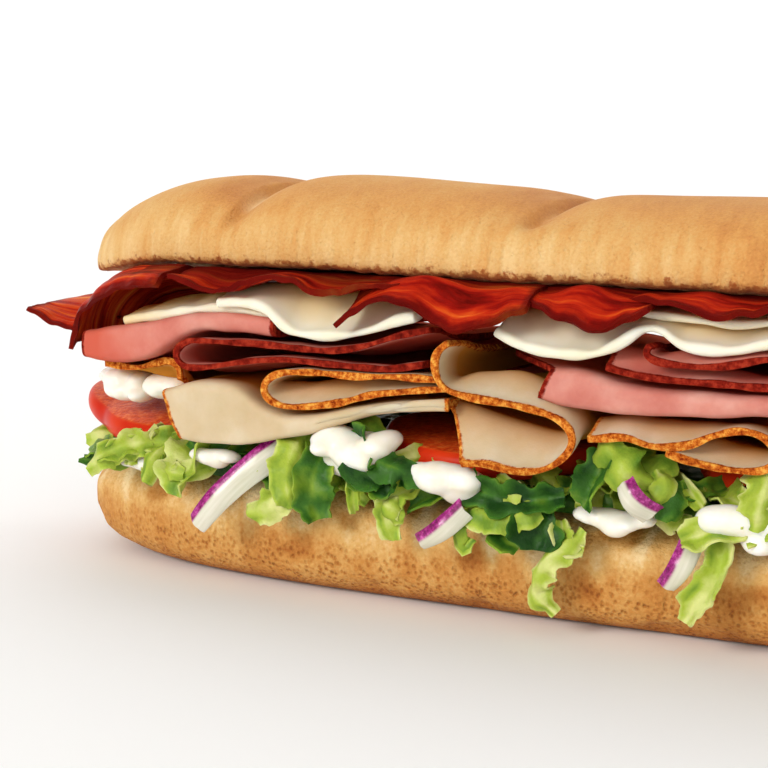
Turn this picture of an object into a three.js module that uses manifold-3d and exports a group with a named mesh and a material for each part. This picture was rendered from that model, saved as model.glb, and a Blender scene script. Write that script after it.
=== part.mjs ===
// A long submarine sandwich. Two halves of a slashed roll hold folded turkey and ham,
// cheese, crisp bacon, tomato, red onion, creamy sauce and a bed of shredded lettuce.
// Millimetres, +Z up, +X along the roll. The origin is the middle of the roll's flat base.
import * as THREE from "three";
import { mergeVertices } from "three/addons/utils/BufferGeometryUtils.js";
import Module from "manifold-3d";

const wasm = await Module();
wasm.setup();

// Roll
const ROLL_LENGTH = 280;
const LID_LENGTH = 275.6;
const ROLL_WIDTH = 80;
const END_BLUNTNESS = 3.5;
const BASE_HEIGHT = 22;
const BASE_WAIST = 12;
const LID_RIM = 67.5;
const LID_DOME = 20.3;
const LID_DOME_WAVE = 1.5;
const SLASHES = [-89, -24, 40, 97];
const SLASH_LEAN = 0.12;
const SLASH_DEPTH = 3.4;

// Filling
const FRONT = -42;
const BACK = 42;
const SHIFT = 2.5;
const WEDGE = 0.22;
const TURKEY_THICK = 1.8;
const HAM_THICK = 1.7;
const CHEESE_THICK = 2.4;
const BACON_THICK = 1.8;
const BACON_UNDER_LID = 66.1;
const TOMATO_THICK = 5;
const ONION_WIDTH = 4.6;
const ONION_THICK = 2.4;
const LETTUCE_LOW = 22.4;
const LETTUCE_HIGH = 28;
const LETTUCE_HALF_LENGTH = 130;
const LETTUCE_HALF_WIDTH = 35;
const SHRED_THICK = 1.3;
const CLEAR = 0.5;
// The right half is filled with slices folded like those of the left half, this far along.
const REPEAT = 140;

const BREAD_TOP = { color: 0xd9a55c, roughness: 0.75, metalness: 0 };
const BREAD_BASE = { color: 0xd6a053, roughness: 0.8, metalness: 0 };
const TURKEY = { color: 0xead9b5, roughness: 0.5, metalness: 0 };
const HAM = { color: 0xd9837a, roughness: 0.4, metalness: 0 };
const CHEESE = { color: 0xf0e4c6, roughness: 0.45, metalness: 0 };
const BACON = { color: 0x9c2f1c, roughness: 0.35, metalness: 0 };
const TOMATO = { color: 0xd2401f, roughness: 0.3, metalness: 0 };
const ONION = { color: 0xe9dde0, roughness: 0.35, metalness: 0 };
const SAUCE = { color: 0xf1ece0, roughness: 0.3, metalness: 0 };
const LETTUCE = { color: 0x93ad3a, roughness: 0.5, metalness: 0 };

const sandwich = new THREE.Group();

// Shared helpers

// Power that keeps the sign, for rounded box sections.
function signedPower(value, power) {
  return Math.sign(value) * Math.abs(value) ** power;
}

function smooth(t) {
  const c = THREE.MathUtils.clamp(t, 0, 1);
  return c * c * (3 - 2 * c);
}

// Half width of the roll seen from above. The upper half is a little shorter than the lower.
function planHalf(x, length = ROLL_LENGTH) {
  const along = Math.min(1, Math.abs(x) / (length / 2));
  return (ROLL_WIDTH / 2) * (1 - along ** END_BLUNTNESS) ** (1 / END_BLUNTNESS);
}

// Height left for the filling, as a share of its height at the front.
function wedge(y) {
  return 1 - (WEDGE * (y - FRONT)) / (BACK - FRONT);
}

// Underside of the upper half: high at the front, lower at the back.
function lidUnderside(y) {
  return BASE_HEIGHT + (LID_RIM - BASE_HEIGHT) * wedge(y);
}

// Presses a filling point into the wedge between the halves and rounds the filling's ends.
// The filling was laid a little to the right of the roll's middle.
function press(point) {
  const x = point.x + SHIFT;
  const round = Math.min(1, planHalf(Math.min(Math.abs(x), 132)) / (ROLL_WIDTH / 2) + 0.1);
  const y = point.y * round;
  const z = BASE_HEIGHT + (point.z - BASE_HEIGHT) * wedge(y);
  return new THREE.Vector3(x, y, z);
}

// Welds a geometry, drops empty triangles and turns the faces outward.
function weld(geometry) {
  geometry.deleteAttribute("normal");
  geometry.deleteAttribute("uv");
  const welded = mergeVertices(geometry, 1e-3);
  const p = welded.attributes.position;
  const kept = [];
  let volume = 0;
  const a = new THREE.Vector3();
  const b = new THREE.Vector3();
  const c = new THREE.Vector3();
  for (let i = 0; i < welded.index.count; i += 3) {
    const ids = [welded.index.getX(i), welded.index.getX(i + 1), welded.index.getX(i + 2)];
    if (ids[0] === ids[1] || ids[1] === ids[2] || ids[2] === ids[0]) continue;
    kept.push(...ids);
    a.fromBufferAttribute(p, ids[0]);
    b.fromBufferAttribute(p, ids[1]);
    c.fromBufferAttribute(p, ids[2]);
    volume += a.dot(b.cross(c));
  }
  if (volume < 0) kept.reverse();
  welded.setIndex(kept);
  return welded;
}

// A box of unit size bent by a function of its length, its width and its two faces.
function bent(lengthSteps, widthSteps, place) {
  const box = new THREE.BoxGeometry(1, 1, 1, lengthSteps, widthSteps, 1);
  const p = box.attributes.position;
  for (let i = 0; i < p.count; i += 1) {
    const side = Math.sign(p.getZ(i));
    const at = place(p.getX(i) + 0.5, p.getY(i) + 0.5, side);
    p.setXYZ(i, at.x, at.y, at.z);
  }
  return weld(box);
}

// A sphere drawn out along x through given stations, each with its own closed section.
function drawnOut(stations, ringSteps, section) {
  const rows = stations.length - 1;
  const ball = new THREE.SphereGeometry(1, ringSteps, rows);
  const p = ball.attributes.position;
  const uv = ball.attributes.uv;
  for (let i = 0; i < p.count; i += 1) {
    const row = Math.round((1 - uv.getY(i)) * rows);
    const at = section(stations[row], THREE.MathUtils.euclideanModulo(uv.getX(i), 1));
    p.setXYZ(i, at.x, at.y, at.z);
  }
  return weld(ball);
}

// A smooth curve through rows of numbers, read at even steps.
function through(rows, steps) {
  const curve = new THREE.CatmullRomCurve3(rows.map((r) => new THREE.Vector3(r[0], r[1], r[2] ?? 0)));
  return curve.getSpacedPoints(steps);
}

// Piecewise straight reading of a list of values at a share of its length.
function along(values, share) {
  const at = share * (values.length - 1);
  const low = Math.min(values.length - 2, Math.floor(at));
  return THREE.MathUtils.lerp(values[low], values[low + 1], at - low);
}

function add(name, geometry, look) {
  const mesh = new THREE.Mesh(geometry, new THREE.MeshStandardMaterial(look));
  mesh.name = name;
  sandwich.add(mesh);
}

function toManifold(geometry) {
  const vertProperties = new Float32Array(geometry.attributes.position.array);
  const triVerts = new Uint32Array(geometry.index.array);
  return new wasm.Manifold(new wasm.Mesh({ numProp: 3, vertProperties, triVerts }));
}

function fromManifold(solid) {
  const mesh = solid.getMesh();
  const geometry = new THREE.BufferGeometry();
  geometry.setAttribute("position", new THREE.BufferAttribute(new Float32Array(mesh.vertProperties), 3));
  geometry.setIndex(Array.from(mesh.triVerts));
  return geometry;
}

// Roll

// Stations along the roll: close together at the ends and beside each slash.
function rollStations(length, marks) {
  const half = length / 2;
  const ends = [1, 0.985, 0.955, 0.91, 0.85, 0.77];
  const list = [];
  for (const e of ends) list.push(-half * e, half * e);
  list.push(...marks);
  list.sort((a, b) => a - b);
  return list.filter((x, i) => i === 0 || x - list[i - 1] > 1);
}

// Lower half: flat base, flat cut face, rounded sides and lifted ends.
function baseSection(x, turn) {
  const half = ROLL_LENGTH / 2;
  const swell = (1 - Math.min(1, Math.abs(x) / half) ** 9) ** 0.42;
  const angle = turn * Math.PI * 2;
  const y = planHalf(x) * signedPower(Math.cos(angle), 0.62);
  const rise = signedPower(Math.sin(angle), 0.62);
  const reach = rise > 0 ? BASE_HEIGHT - BASE_WAIST + 2 : BASE_WAIST + 2.6;
  const z = THREE.MathUtils.clamp(BASE_WAIST + rise * reach * swell, 0, BASE_HEIGHT);
  return new THREE.Vector3(x, y, z);
}

// Each slash drops sharply on its left side and climbs back slowly on its right.
function slashDrop(x, y) {
  let drop = 0;
  for (const s of SLASHES) {
    const d = x - s - SLASH_LEAN * y;
    const shape = d < 0 ? Math.exp(-((d / 2.6) ** 2)) : Math.exp(-d / 12);
    drop = Math.max(drop, shape);
  }
  return SLASH_DEPTH * drop * smooth((39 - Math.abs(y)) / 9);
}

// Upper half: a dome with slashes over a flat underside that follows the wedge.
function lidSection(x, turn) {
  const domeShare = 0.7;
  const half = LID_LENGTH / 2;
  const w = planHalf(x, LID_LENGTH);
  if (turn > domeShare) {
    const y = -w + 2 * w * ((turn - domeShare) / (1 - domeShare));
    return new THREE.Vector3(x, y, lidUnderside(y));
  }
  const angle = (turn / domeShare) * Math.PI;
  const y = w * signedPower(Math.cos(angle), 0.8);
  const fall = (1 - Math.min(1, Math.abs(x) / half) ** 7) ** 0.4;
  const tall = (LID_DOME - LID_DOME_WAVE * Math.cos((Math.PI * x) / 105)) * fall;
  const lift = tall * Math.abs(Math.sin(angle)) ** 0.8;
  const dip = slashDrop(x, y) * Math.min(1, lift / 9);
  return new THREE.Vector3(x, y, lidUnderside(y) + lift - dip);
}

const baseMarks = [-88, -60, -30, 0, 30, 60, 88];
const lidMarks = SLASHES.flatMap((s) => [s - 7, s - 2.6, s, s + 5, s + 13, s + 30]);
const lidStations = rollStations(LID_LENGTH, lidMarks.filter((x) => Math.abs(x) < LID_LENGTH * 0.46));
add("bun_bottom", drawnOut(rollStations(ROLL_LENGTH, baseMarks), 20, baseSection), BREAD_BASE);
add("bun_top", drawnOut(lidStations, 20, lidSection), BREAD_TOP);

// Slices

// A slice seen edge on: its front edge follows rows of [x, z, lift], and it runs through
// to the back. The lift closes a loop behind the front edge.
function leaf(thick, front, back, steps, rows) {
  const path = through(rows, steps);
  const depth = [front, front + 9, back - 9, back];
  const lift = [0, 1, 1, 0];
  return bent(steps, 3, (u, v, side) => {
    const i = Math.round(u * steps);
    const share = along(lift, v);
    const level = (k) => path[k].y + path[k].z * share;
    const before = Math.max(0, i - 1);
    const after = Math.min(steps, i + 1);
    const tangent = new THREE.Vector2(path[after].x - path[before].x, level(after) - level(before));
    tangent.normalize();
    const x = path[i].x - (tangent.y * side * thick) / 2;
    const z = level(i) + (tangent.x * side * thick) / 2;
    return press(new THREE.Vector3(x, along(depth, v), z));
  });
}

// A slice folded over at the front: rows of [x, low, high] give the height of the fold.
// Behind the fold its lower leaf rises by as much as there is room for, up to rise, and its
// left end trails further left the deeper it lies.
function fold(thick, front, back, steps, rows, rise, lean, trail = 0) {
  const path = through(rows, steps);
  const depth = [back, front + 13, front + 3.2, front, front + 1.4, front + 13, back];
  return bent(steps, 6, (u, v, side) => {
    const { x, y: low, z: high } = path[Math.round(u * steps)];
    const mid = (low + high) / 2;
    const tall = high - low;
    const lifted = low + THREE.MathUtils.clamp(tall - 2 * thick - 0.7, 0, rise);
    const outer = [high, high, high - 0.1 * tall, mid, low, lifted, lifted];
    const i = Math.round(v * 6);
    let z = outer[i];
    let y = depth[i];
    if (side < 0) {
      const shrink = (tall - 2 * thick) / tall;
      z = i < 2 ? high - thick : i > 4 ? lifted + thick : mid + (z - mid) * shrink;
      y += i > 1 && i < 5 ? thick : 0;
    }
    const slant = lean * (z - mid) * (1 - u) ** 3;
    const deep = smooth((y - front) / 20) * (1 - u) ** 2;
    return press(new THREE.Vector3(x + slant - trail * deep, y, z + 0.14 * trail * deep));
  });
}

// A slab that droops at its front: rows of [x, front z, inner z] give its lower face.
function drape(thick, front, back, steps, rows) {
  const path = through(rows, steps);
  const depth = [front, front + 4, front + 12, back];
  const settle = [0, 0.3, 1, 1];
  return bent(steps, 3, (u, v, side) => {
    const row = path[Math.round(u * steps)];
    const low = THREE.MathUtils.lerp(row.y, row.z, along(settle, v));
    const z = low + (side > 0 ? thick : 0);
    return press(new THREE.Vector3(row.x, along(depth, v), z));
  });
}

// A wavy rasher: rows of [x, front edge z, crest z]. Behind its crest it is pressed flat under
// the roll, and its left end is cut aslant by shift. A tilted rasher climbs all the way in, and
// one that hangs over the left end keeps low there. Facing -1 turns a rasher to the back.
function rasher(front, inner, steps, rows, look = {}) {
  const { shift = 0, crestIn = 4.8, tilted = false, hanging = false, facing = 1 } = look;
  const path = through(rows, steps);
  const depth = [front, front + crestIn, front + 12, inner];
  const climb = depth.map((y) => (y - front) / (inner - front));
  const at = (u, v) => {
    const i = Math.round(u * steps);
    const row = path[i];
    const under = hanging ? THREE.MathUtils.lerp(row.z + 1, BACON_UNDER_LID, smooth(u)) : BACON_UNDER_LID;
    const flat = [row.y, row.z, under, under];
    const level = tilted ? climb.map((c) => THREE.MathUtils.lerp(row.y, row.z, c)) : flat;
    const x = row.x + shift * v * (1 - u);
    return new THREE.Vector3(x, along(depth, v), along(level, v));
  };
  return bent(steps, 3, (u, v, side) => {
    const du = 1 / steps;
    const east = at(Math.min(1, u + du), v).sub(at(Math.max(0, u - du), v));
    const north = at(u, Math.min(1, v + 0.2)).sub(at(u, Math.max(0, v - 0.2)));
    const normal = east.cross(north).normalize();
    const point = at(u, v).addScaledVector(normal, (side * BACON_THICK) / 2);
    point.y *= facing;
    return press(point);
  });
}

// A tomato slice lying flat, its skin rounded at the rim. Its front may droop.
function tomatoSlice(x, y, low, radius, droop) {
  const h = TOMATO_THICK;
  const profile = [
    [0, 0], [radius - 1.6, 0], [radius, h * 0.3], [radius, h * 0.7], [radius - 1.4, h], [0, h],
  ].map(([r, z]) => new THREE.Vector2(r, z));
  const disc = new THREE.LatheGeometry(profile, 22);
  disc.rotateX(Math.PI / 2);
  disc.translate(x, y, low);
  const p = disc.attributes.position;
  for (let i = 0; i < p.count; i += 1) {
    const point = new THREE.Vector3().fromBufferAttribute(p, i);
    point.z -= droop * (Math.max(0, y - point.y) / radius) ** 1.5;
    const at = press(point);
    p.setXYZ(i, at.x, at.y, at.z);
  }
  return weld(disc);
}

// Turkey
const turkeyFold = [
  [-104, 31.2, 41.6], [-96, 31, 43.9], [-88, 31.5, 43.7], [-83, 32.2, 40.4], [-77, 33.5, 38.6],
  [-71, 34.6, 39], [-65, 36.1, 40.4], [-57, 38.1, 42.3], [-47, 38.4, 42.7],
];
const turkeyTeardrop = [
  [-47, 46.9], [-62, 46.8], [-74, 47.1], [-79, 46.4], [-81.3, 44], [-80.3, 41.5], [-76.5, 40.5],
  [-71.5, 40.8], [-65, 42.2], [-57, 44.1], [-48, 44.4],
];
const turkeyScroll = [
  [-41, 54.8], [-43.4, 52.6], [-43.8, 49.6], [-42, 46.6], [-37, 45.3], [-29, 44.8], [-22.5, 43.7],
  [-17.8, 41.6, 0.5], [-16.3, 38.7, 2], [-17.8, 35.5, 3], [-21.5, 33, 4], [-27, 32.3, 4.2],
  [-33, 33, 3.8], [-38.5, 32.5, 3.8],
];
const turkeyCurl = [
  [-14, 39.3], [-7, 40], [-1.5, 38.8], [5, 39.6], [10, 41.9], [15, 43.2], [19.3, 42.2, -0.4],
  [21.2, 39.2, 0.4], [19, 36.4, 1.6], [13, 35.7, 2.2], [7, 36.5, 1.3],
];
const turkeyEnd = [
  [-126, 43.2], [-118, 43.5], [-111.5, 45], [-107.5, 46.4], [-105.1, 45.4], [-104.9, 43.8],
];

function moved(rows) {
  return rows.map((r) => [r[0] + REPEAT, r[1], r[2] ?? 0]);
}

add("turkey_1", leaf(TURKEY_THICK, -40, 36, 9, turkeyEnd), TURKEY);
add("turkey_2", fold(TURKEY_THICK, -45, 38, 10, turkeyFold, 6.4, -0.5), TURKEY);
add("turkey_3", leaf(TURKEY_THICK, -45.5, 40, 16, turkeyTeardrop), TURKEY);
add("turkey_4", leaf(TURKEY_THICK, -47, 42, 21, turkeyScroll), TURKEY);
add("turkey_5", leaf(TURKEY_THICK, -45.5, 41, 16, turkeyCurl), TURKEY);
add("turkey_6", fold(TURKEY_THICK, -44, 40, 10, moved(turkeyFold), 6.4, 0.3), TURKEY);
add("turkey_7", leaf(TURKEY_THICK, -45, 42, 16, moved(turkeyTeardrop)), TURKEY);
add("turkey_8", leaf(TURKEY_THICK, -46, 40, 19, moved(turkeyScroll)), TURKEY);

// Ham
const hamBand = [
  [-132.5, 45.2, 51.8], [-119, 45.6, 53.8], [-110, 47.6, 55.4], [-104, 51, 56.6], [-97, 53.9, 57.9],
  [-88, 53.9, 58.2], [-80, 53.7, 57.5],
];
const hamLoop = [
  [-46, 57.2], [-52, 55.9], [-59, 53.7], [-67, 52.2], [-77, 52.1], [-87, 52.2], [-95, 52.3],
  [-100, 51.6], [-102.6, 49.2], [-101.2, 46.9], [-97.5, 46.5], [-91, 47.6], [-84, 48.8],
  [-76, 49.6], [-66, 49.3], [-56, 49.2], [-47, 50.6],
];
const hamFront = [
  [-22.5, 45.7, 51.8], [-16.5, 44.5, 51.7], [-6.5, 44, 49.7], [5, 44.4, 49.3], [16, 45.3, 49.4],
  [25, 45.6, 49.6], [33, 45.6, 49.6],
];
const hamCurl = [
  [-2.6, 57.3], [-3.3, 55.7], [-0.8, 54.2], [5, 53.7], [12, 54.4], [19, 56], [27, 56.5],
  [32, 55.3], [33.2, 53.4], [30, 51.7], [20, 51.1], [5, 51.1], [-5, 51.4], [-11, 52.4],
];
const hamEnd = [[-22.5, 45.7, 51.8], [-16.5, 44.5, 51.7], [-6.5, 44.2, 49.9], [-3, 44.4, 49.6]];
add("ham_1", fold(HAM_THICK, -44, 37, 9, hamBand, 0, 0.1), HAM);
add("ham_2", leaf(HAM_THICK, -44.5, 40, 22, hamLoop), HAM);
add("ham_3", fold(HAM_THICK, -45.5, 41, 9, hamFront, 0, 0.5, 14), HAM);
add("ham_4", leaf(HAM_THICK, -44.5, 41, 20, hamCurl), HAM);
add("ham_5", fold(HAM_THICK, -43.5, 38, 5, moved(hamBand.slice(3)), 0, 0.2), HAM);
add("ham_6", leaf(HAM_THICK, -45, 41, 20, moved(hamLoop)), HAM);
add("ham_7", fold(HAM_THICK, -45, 40, 6, moved(hamEnd), 0, 0.4, 14), HAM);

// Cheese
const cheeseLeft = [[-117, 54.6, 55], [-110, 56, 56.2], [-103, 57.2, 57.5], [-97, 58.3, 58.5]];
const cheeseDrape = [
  [-90, 58.8, 58.9], [-84, 59, 60], [-80, 58.4, 60.2], [-76.5, 54.4, 59.9], [-70, 53.7, 59.2],
  [-64, 54.3, 58.6], [-58, 55.6, 58.4], [-52, 57.5, 58.5], [-47, 58.7, 58.9],
];
const cheeseFront = [
  [-32, 56.3, 57.6], [-28, 54.3, 57.4], [-21, 53.3, 57], [-14, 53.5, 57], [-9, 55.5, 57.8],
  [-4.5, 58.7, 59], [-1, 58.8, 59], [3, 56.3, 58.2], [8, 55.7, 57.8], [13, 56.1, 57.9],
  [19, 57.6, 58.8], [27, 58.2, 59], [35, 58, 58.8],
];
const cheeseOver = [[-1, 62, 62], [6, 61.2, 61.2], [13, 60.9, 60.9], [21, 61.8, 61.8], [34, 61.9, 61.9]];
const cheeseEnd = cheeseFront.slice(0, 7);
add("cheese_1", drape(CHEESE_THICK, -42, 36, 4, cheeseLeft), CHEESE);
add("cheese_2", drape(CHEESE_THICK, -44.5, 38, 12, cheeseDrape), CHEESE);
add("cheese_3", drape(CHEESE_THICK, -44.5, 40, 14, cheeseFront), CHEESE);
add("cheese_4", drape(1.8, -41.5, 37, 6, cheeseOver), CHEESE);
add("cheese_5", drape(CHEESE_THICK, -44, 40, 12, moved(cheeseDrape)), CHEESE);
add("cheese_6", drape(CHEESE_THICK, -44, 38, 8, moved(cheeseEnd)), CHEESE);

// Bacon
const baconTip = [
  [-158, 54.6, 56], [-152, 51.4, 57.6], [-146, 50, 59.2], [-140, 50.8, 60.4], [-133, 53.6, 61.2],
];
const baconArch = [
  [-135.4, 47, 48.6], [-134.2, 51.5, 53.4], [-130, 55.4, 57.4], [-124, 58.6, 61], [-117, 61.2, 63.4],
  [-110.5, 62.6, 64.6], [-104.9, 63, 65],
];
const baconWave = [
  [-103.6, 64.6, 64.9], [-99.5, 64.4, 64.6], [-95.5, 62.5, 63], [-92.5, 62.2, 62.6], [-89, 63, 63.2],
  [-84, 64.9, 65], [-79, 65.8, 66], [-75, 65.2, 65.4], [-71.5, 63.9, 64.2], [-68, 63.3, 63.7],
  [-65, 63.6, 64], [-62, 64.4, 64.6],
];
const baconRibbon = [
  [-64.5, 56.8, 59.6], [-60, 60.2, 63], [-55.5, 62.6, 65.8], [-51, 62.4, 66.8], [-47, 60.6, 67],
  [-43, 58.2, 66.2], [-38.5, 57.6, 64.9], [-34.5, 58.6, 64.8], [-30, 60.8, 65.6], [-25.2, 62.6, 65.4],
];
const baconCup = [
  [-23.4, 62.8, 64.6], [-18.5, 60.9, 66.2], [-14.5, 59.8, 66.6], [-10.5, 59.8, 65], [-6.5, 61.4, 64.4],
  [-2.2, 63.8, 64.8],
];
const baconRight = [
  [0, 65.2, 66], [3.5, 64.9, 66.6], [7, 63.4, 66.6], [10.5, 62.9, 65.6], [15, 63.6, 65], [20, 64.8, 65.6],
  [26, 65.4, 66.2], [33, 64.2, 65.4],
];
add("bacon_1", rasher(-25, 0, 8, baconTip, { tilted: true }), BACON);
add("bacon_2", rasher(-46.6, -28, 11, baconArch, { crestIn: 2, hanging: true }), BACON);
add("bacon_3", rasher(-45.5, -15, 16, baconWave), BACON);
add("bacon_4", rasher(-48, -17, 14, baconRibbon, { shift: 6 }), BACON);
add("bacon_5", rasher(-47.5, -16, 10, baconCup), BACON);
add("bacon_6", rasher(-46.5, -18, 12, baconRight), BACON);
add("bacon_7", rasher(-46, -16, 16, moved(baconWave)), BACON);
add("bacon_8", rasher(-47, -15, 14, moved(baconRibbon), { shift: 6 }), BACON);
add("bacon_9", rasher(-46, -16, 10, moved(baconCup)), BACON);

// The back row: four rashers that wave like those in front.
function backRows(from, to) {
  const rows = [];
  for (let x = from; x <= to; x += 4) {
    rows.push([x, 64.4 + 0.9 * Math.sin(x * 0.36), 65.5 + 0.4 * Math.sin(x * 0.36 + 0.8)]);
  }
  return rows;
}
[[-126, -66], [-60, 0], [6, 62], [68, 124]].forEach(([from, to], i) => {
  add(`bacon_${10 + i}`, rasher(-45, -12, 10, backRows(from, to), { facing: -1 }), BACON);
});

// Tomato
add("tomato_1", tomatoSlice(-119, -8, 30.6, 28, 3), TOMATO);
add("tomato_2", tomatoSlice(-38.5, -11, 28.6, 25, 0.6), TOMATO);
add("tomato_3", tomatoSlice(28, -6, 29.4, 27, 1), TOMATO);
add("tomato_4", tomatoSlice(105, -8, 28.6, 27, 0.6), TOMATO);

// Red onion: curved strips that hang out of the salad in front of the lower half.
function onionStrip([top, tip, bow], grow) {
  const wide = ONION_WIDTH + 2 * grow;
  const thick = ONION_THICK + 2 * grow;
  const a = new THREE.Vector3(...top);
  const b = new THREE.Vector3(...tip);
  const run = b.clone().sub(a).normalize();
  const across = new THREE.Vector3(-run.z, 0, run.x).normalize();
  return bent(6, 1, (u, v, side) => {
    const stretch = u + (u - 0.5) * 2 * (grow / a.distanceTo(b));
    const at = a.clone().lerp(b, stretch);
    at.addScaledVector(across, bow * Math.sin(Math.PI * u) + (v - 0.5) * wide);
    at.y += (side * thick) / 2 - 2.5 * Math.sin(Math.PI * u * 0.8);
    return press(at);
  });
}

const onionRows = [
  [[-82.5, -40, 29.8], [-96.5, -44.5, 15], 1.6],
  [[-37.5, -45.8, 24], [-46.5, -45.4, 17], 0.6],
  [[-5.5, -41, 31], [-1.5, -43, 26.5], 0.4],
  [[6.5, -43.5, 23], [2.2, -45, 14], 0.8],
  [[55, -41, 28.5], [46, -44.5, 15], 1.4],
  [[88, -44, 25], [96, -45, 15], -1],
  [[116, -41, 26.5], [110, -43.5, 16], 1],
];
onionRows.forEach((row, i) => add(`onion_${i + 1}`, onionStrip(row, 0), ONION));

// Creamy sauce: lumpy blobs between the layers, [centre, half sizes].
function sauceBlob([centre, half], grow) {
  const ball = new THREE.SphereGeometry(1, 10, 6);
  const p = ball.attributes.position;
  for (let i = 0; i < p.count; i += 1) {
    const n = new THREE.Vector3().fromBufferAttribute(p, i);
    const lump = 1 + 0.1 * Math.sin(5 * n.x + centre[0]) * Math.cos(4 * n.y + centre[2]);
    const at = new THREE.Vector3(
      centre[0] + n.x * (half[0] * lump + grow),
      centre[1] + n.y * (half[1] * lump + grow),
      centre[2] + signedPower(n.z, 0.8) * (half[2] + grow),
    );
    const pressed = press(at);
    p.setXYZ(i, pressed.x, pressed.y, pressed.z);
  }
  return weld(ball);
}

const sauceRows = [
  [[-123.6, -29, 38.5], [6.6, 8, 2.6]],
  [[-111, -31, 38], [4.4, 6, 2.3]],
  [[-113, -39.5, 24.4], [9, 5, 1.7]],
  [[-94.2, -42, 28.4], [5, 4.6, 1.7]],
  [[-63, -41, 31.6], [9, 7.5, 3.1]],
  [[-43.5, -43.2, 28], [7.4, 4, 2.7]],
  [[-9.4, -42, 24.2], [7.6, 4.4, 1.7]],
  [[15.5, -42.4, 26], [6.2, 4.4, 3.6]],
  [[47.5, -42, 28.2], [4, 4.4, 1.6]],
  [[77, -41, 31.6], [9, 7, 3]],
  [[101, -43, 27.4], [7, 4.2, 2.6]],
];
sauceRows.forEach((row, i) => add(`sauce_${i + 1}`, sauceBlob(row, 0), SAUCE));

// Lettuce: a flat core with the shreds that show fused on.

// The core is heaped up where there is no tomato above it.
function lettuceHeap(x) {
  const gaps = [-75, 66.5];
  return gaps.reduce((sum, g) => sum + 3.2 * smooth(1.4 - Math.abs(x - g) / 9), 0);
}

function lettuceCore() {
  return bent(30, 2, (u, v, side) => {
    const x = (u - 0.5) * 2 * LETTUCE_HALF_LENGTH;
    const y = (v - 0.5) * 2 * LETTUCE_HALF_WIDTH;
    const ripple = 0.5 * Math.sin(x * 0.31 + y * 0.17);
    const z = side > 0 ? LETTUCE_HIGH - 0.5 + ripple + lettuceHeap(x) : LETTUCE_LOW;
    return press(new THREE.Vector3(x, y, z));
  });
}

// A shred that leaves the core at a side, bends over the roll's edge and ends at tip z.
function lettuceShred([x, tip, wide, drift], facing) {
  const hang = tip < BASE_HEIGHT;
  const y = hang ? [31, 38, 43, 44.6, 45.6] : [31, 36, 40, 43, 44.5];
  const z = hang ? [25, 25.4, 24.4, (24 + tip) / 2, tip] : [25, 25.6, 26.4, (27 + tip) / 2, tip];
  return bent(4, 1, (u, v, side) => {
    const taper = 1 - 0.45 * u * u;
    const px = x + drift * u + (v - 0.5) * wide * taper;
    const py = along(y, u) + (side * SHRED_THICK) / 2;
    const pz = along(z, u) + (side * SHRED_THICK * (1 - u)) / 2;
    return press(new THREE.Vector3(px, facing * py, pz));
  });
}

const frontShreds = [
  [-123, 24.5, 9, -5], [-104, 25.5, 8, 2], [-78, 17.5, 11, -4], [-70, 22.5, 8, 3], [-54.5, 16, 6, 3],
  [-31, 15, 11, 4], [-22, 6.5, 5.5, 3], [-17.5, 17, 7, 3], [8.5, 7.5, 5.5, -1], [24, 18, 8, 3],
  [36, 20.5, 9, -3], [63, 17, 8, 4], [70, 21, 9, -2], [109, 9, 6, 3], [125, 21, 9, 4], [85, 19, 7, -3],
];
const backShreds = [];
for (let i = 0; i < 13; i += 1) {
  const x = -122 + 20 * i + 5 * Math.sin(i * 2.3);
  backShreds.push([x, 16 + 6 * Math.sin(i * 1.7), 8 + 2 * Math.cos(i), 4 * Math.sin(i * 3.1)]);
}

let lettuce = toManifold(lettuceCore());
for (const row of frontShreds) lettuce = lettuce.add(toManifold(lettuceShred(row, -1)));
for (const row of backShreds) lettuce = lettuce.add(toManifold(lettuceShred(row, 1)));
for (const row of onionRows) lettuce = lettuce.subtract(toManifold(onionStrip(row, CLEAR)));
for (const row of sauceRows) lettuce = lettuce.subtract(toManifold(sauceBlob(row, CLEAR)));
const largest = lettuce.decompose().reduce((a, b) => (a.volume() > b.volume() ? a : b));
add("lettuce", fromManifold(largest), LETTUCE);

export default sandwich;
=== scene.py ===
"""A long submarine sandwich, dressed over its solids: a slashed roll, folded turkey and ham,
cheese, fried bacon, tomato, red onion, creamy sauce and shredded lettuce. Sizes are in
millimetres until a vertex is put in place."""
import logging
import math
import random
from collections.abc import Callable, Sequence
from dataclasses import dataclass, field
from enum import Enum
from typing import NamedTuple

import bmesh
import bpy
import numpy as np
from mathutils import Matrix, Vector, noise


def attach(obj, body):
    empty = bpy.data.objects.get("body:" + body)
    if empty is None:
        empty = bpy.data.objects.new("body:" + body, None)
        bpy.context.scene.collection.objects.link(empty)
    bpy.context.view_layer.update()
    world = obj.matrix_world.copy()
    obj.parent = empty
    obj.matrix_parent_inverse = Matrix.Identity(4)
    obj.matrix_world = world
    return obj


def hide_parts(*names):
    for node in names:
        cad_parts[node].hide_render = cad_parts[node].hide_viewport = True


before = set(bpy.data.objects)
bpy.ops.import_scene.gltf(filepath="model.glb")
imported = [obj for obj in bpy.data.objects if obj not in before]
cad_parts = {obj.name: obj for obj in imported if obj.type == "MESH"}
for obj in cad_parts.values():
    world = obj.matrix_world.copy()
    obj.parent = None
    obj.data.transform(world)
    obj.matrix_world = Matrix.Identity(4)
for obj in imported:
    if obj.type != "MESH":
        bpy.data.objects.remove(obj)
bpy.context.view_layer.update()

LOG = logging.getLogger("sandwich")
MM = 0.001
SEED = 7

# Sockets of the Mix node when it mixes colours
MIX_FACTOR = 0
MIX_A = 6
MIX_B = 7
MIX_OUT = 2

Rows = Sequence[Sequence[float]]
Point = tuple[float, float, float]


# Shared helpers

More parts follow.
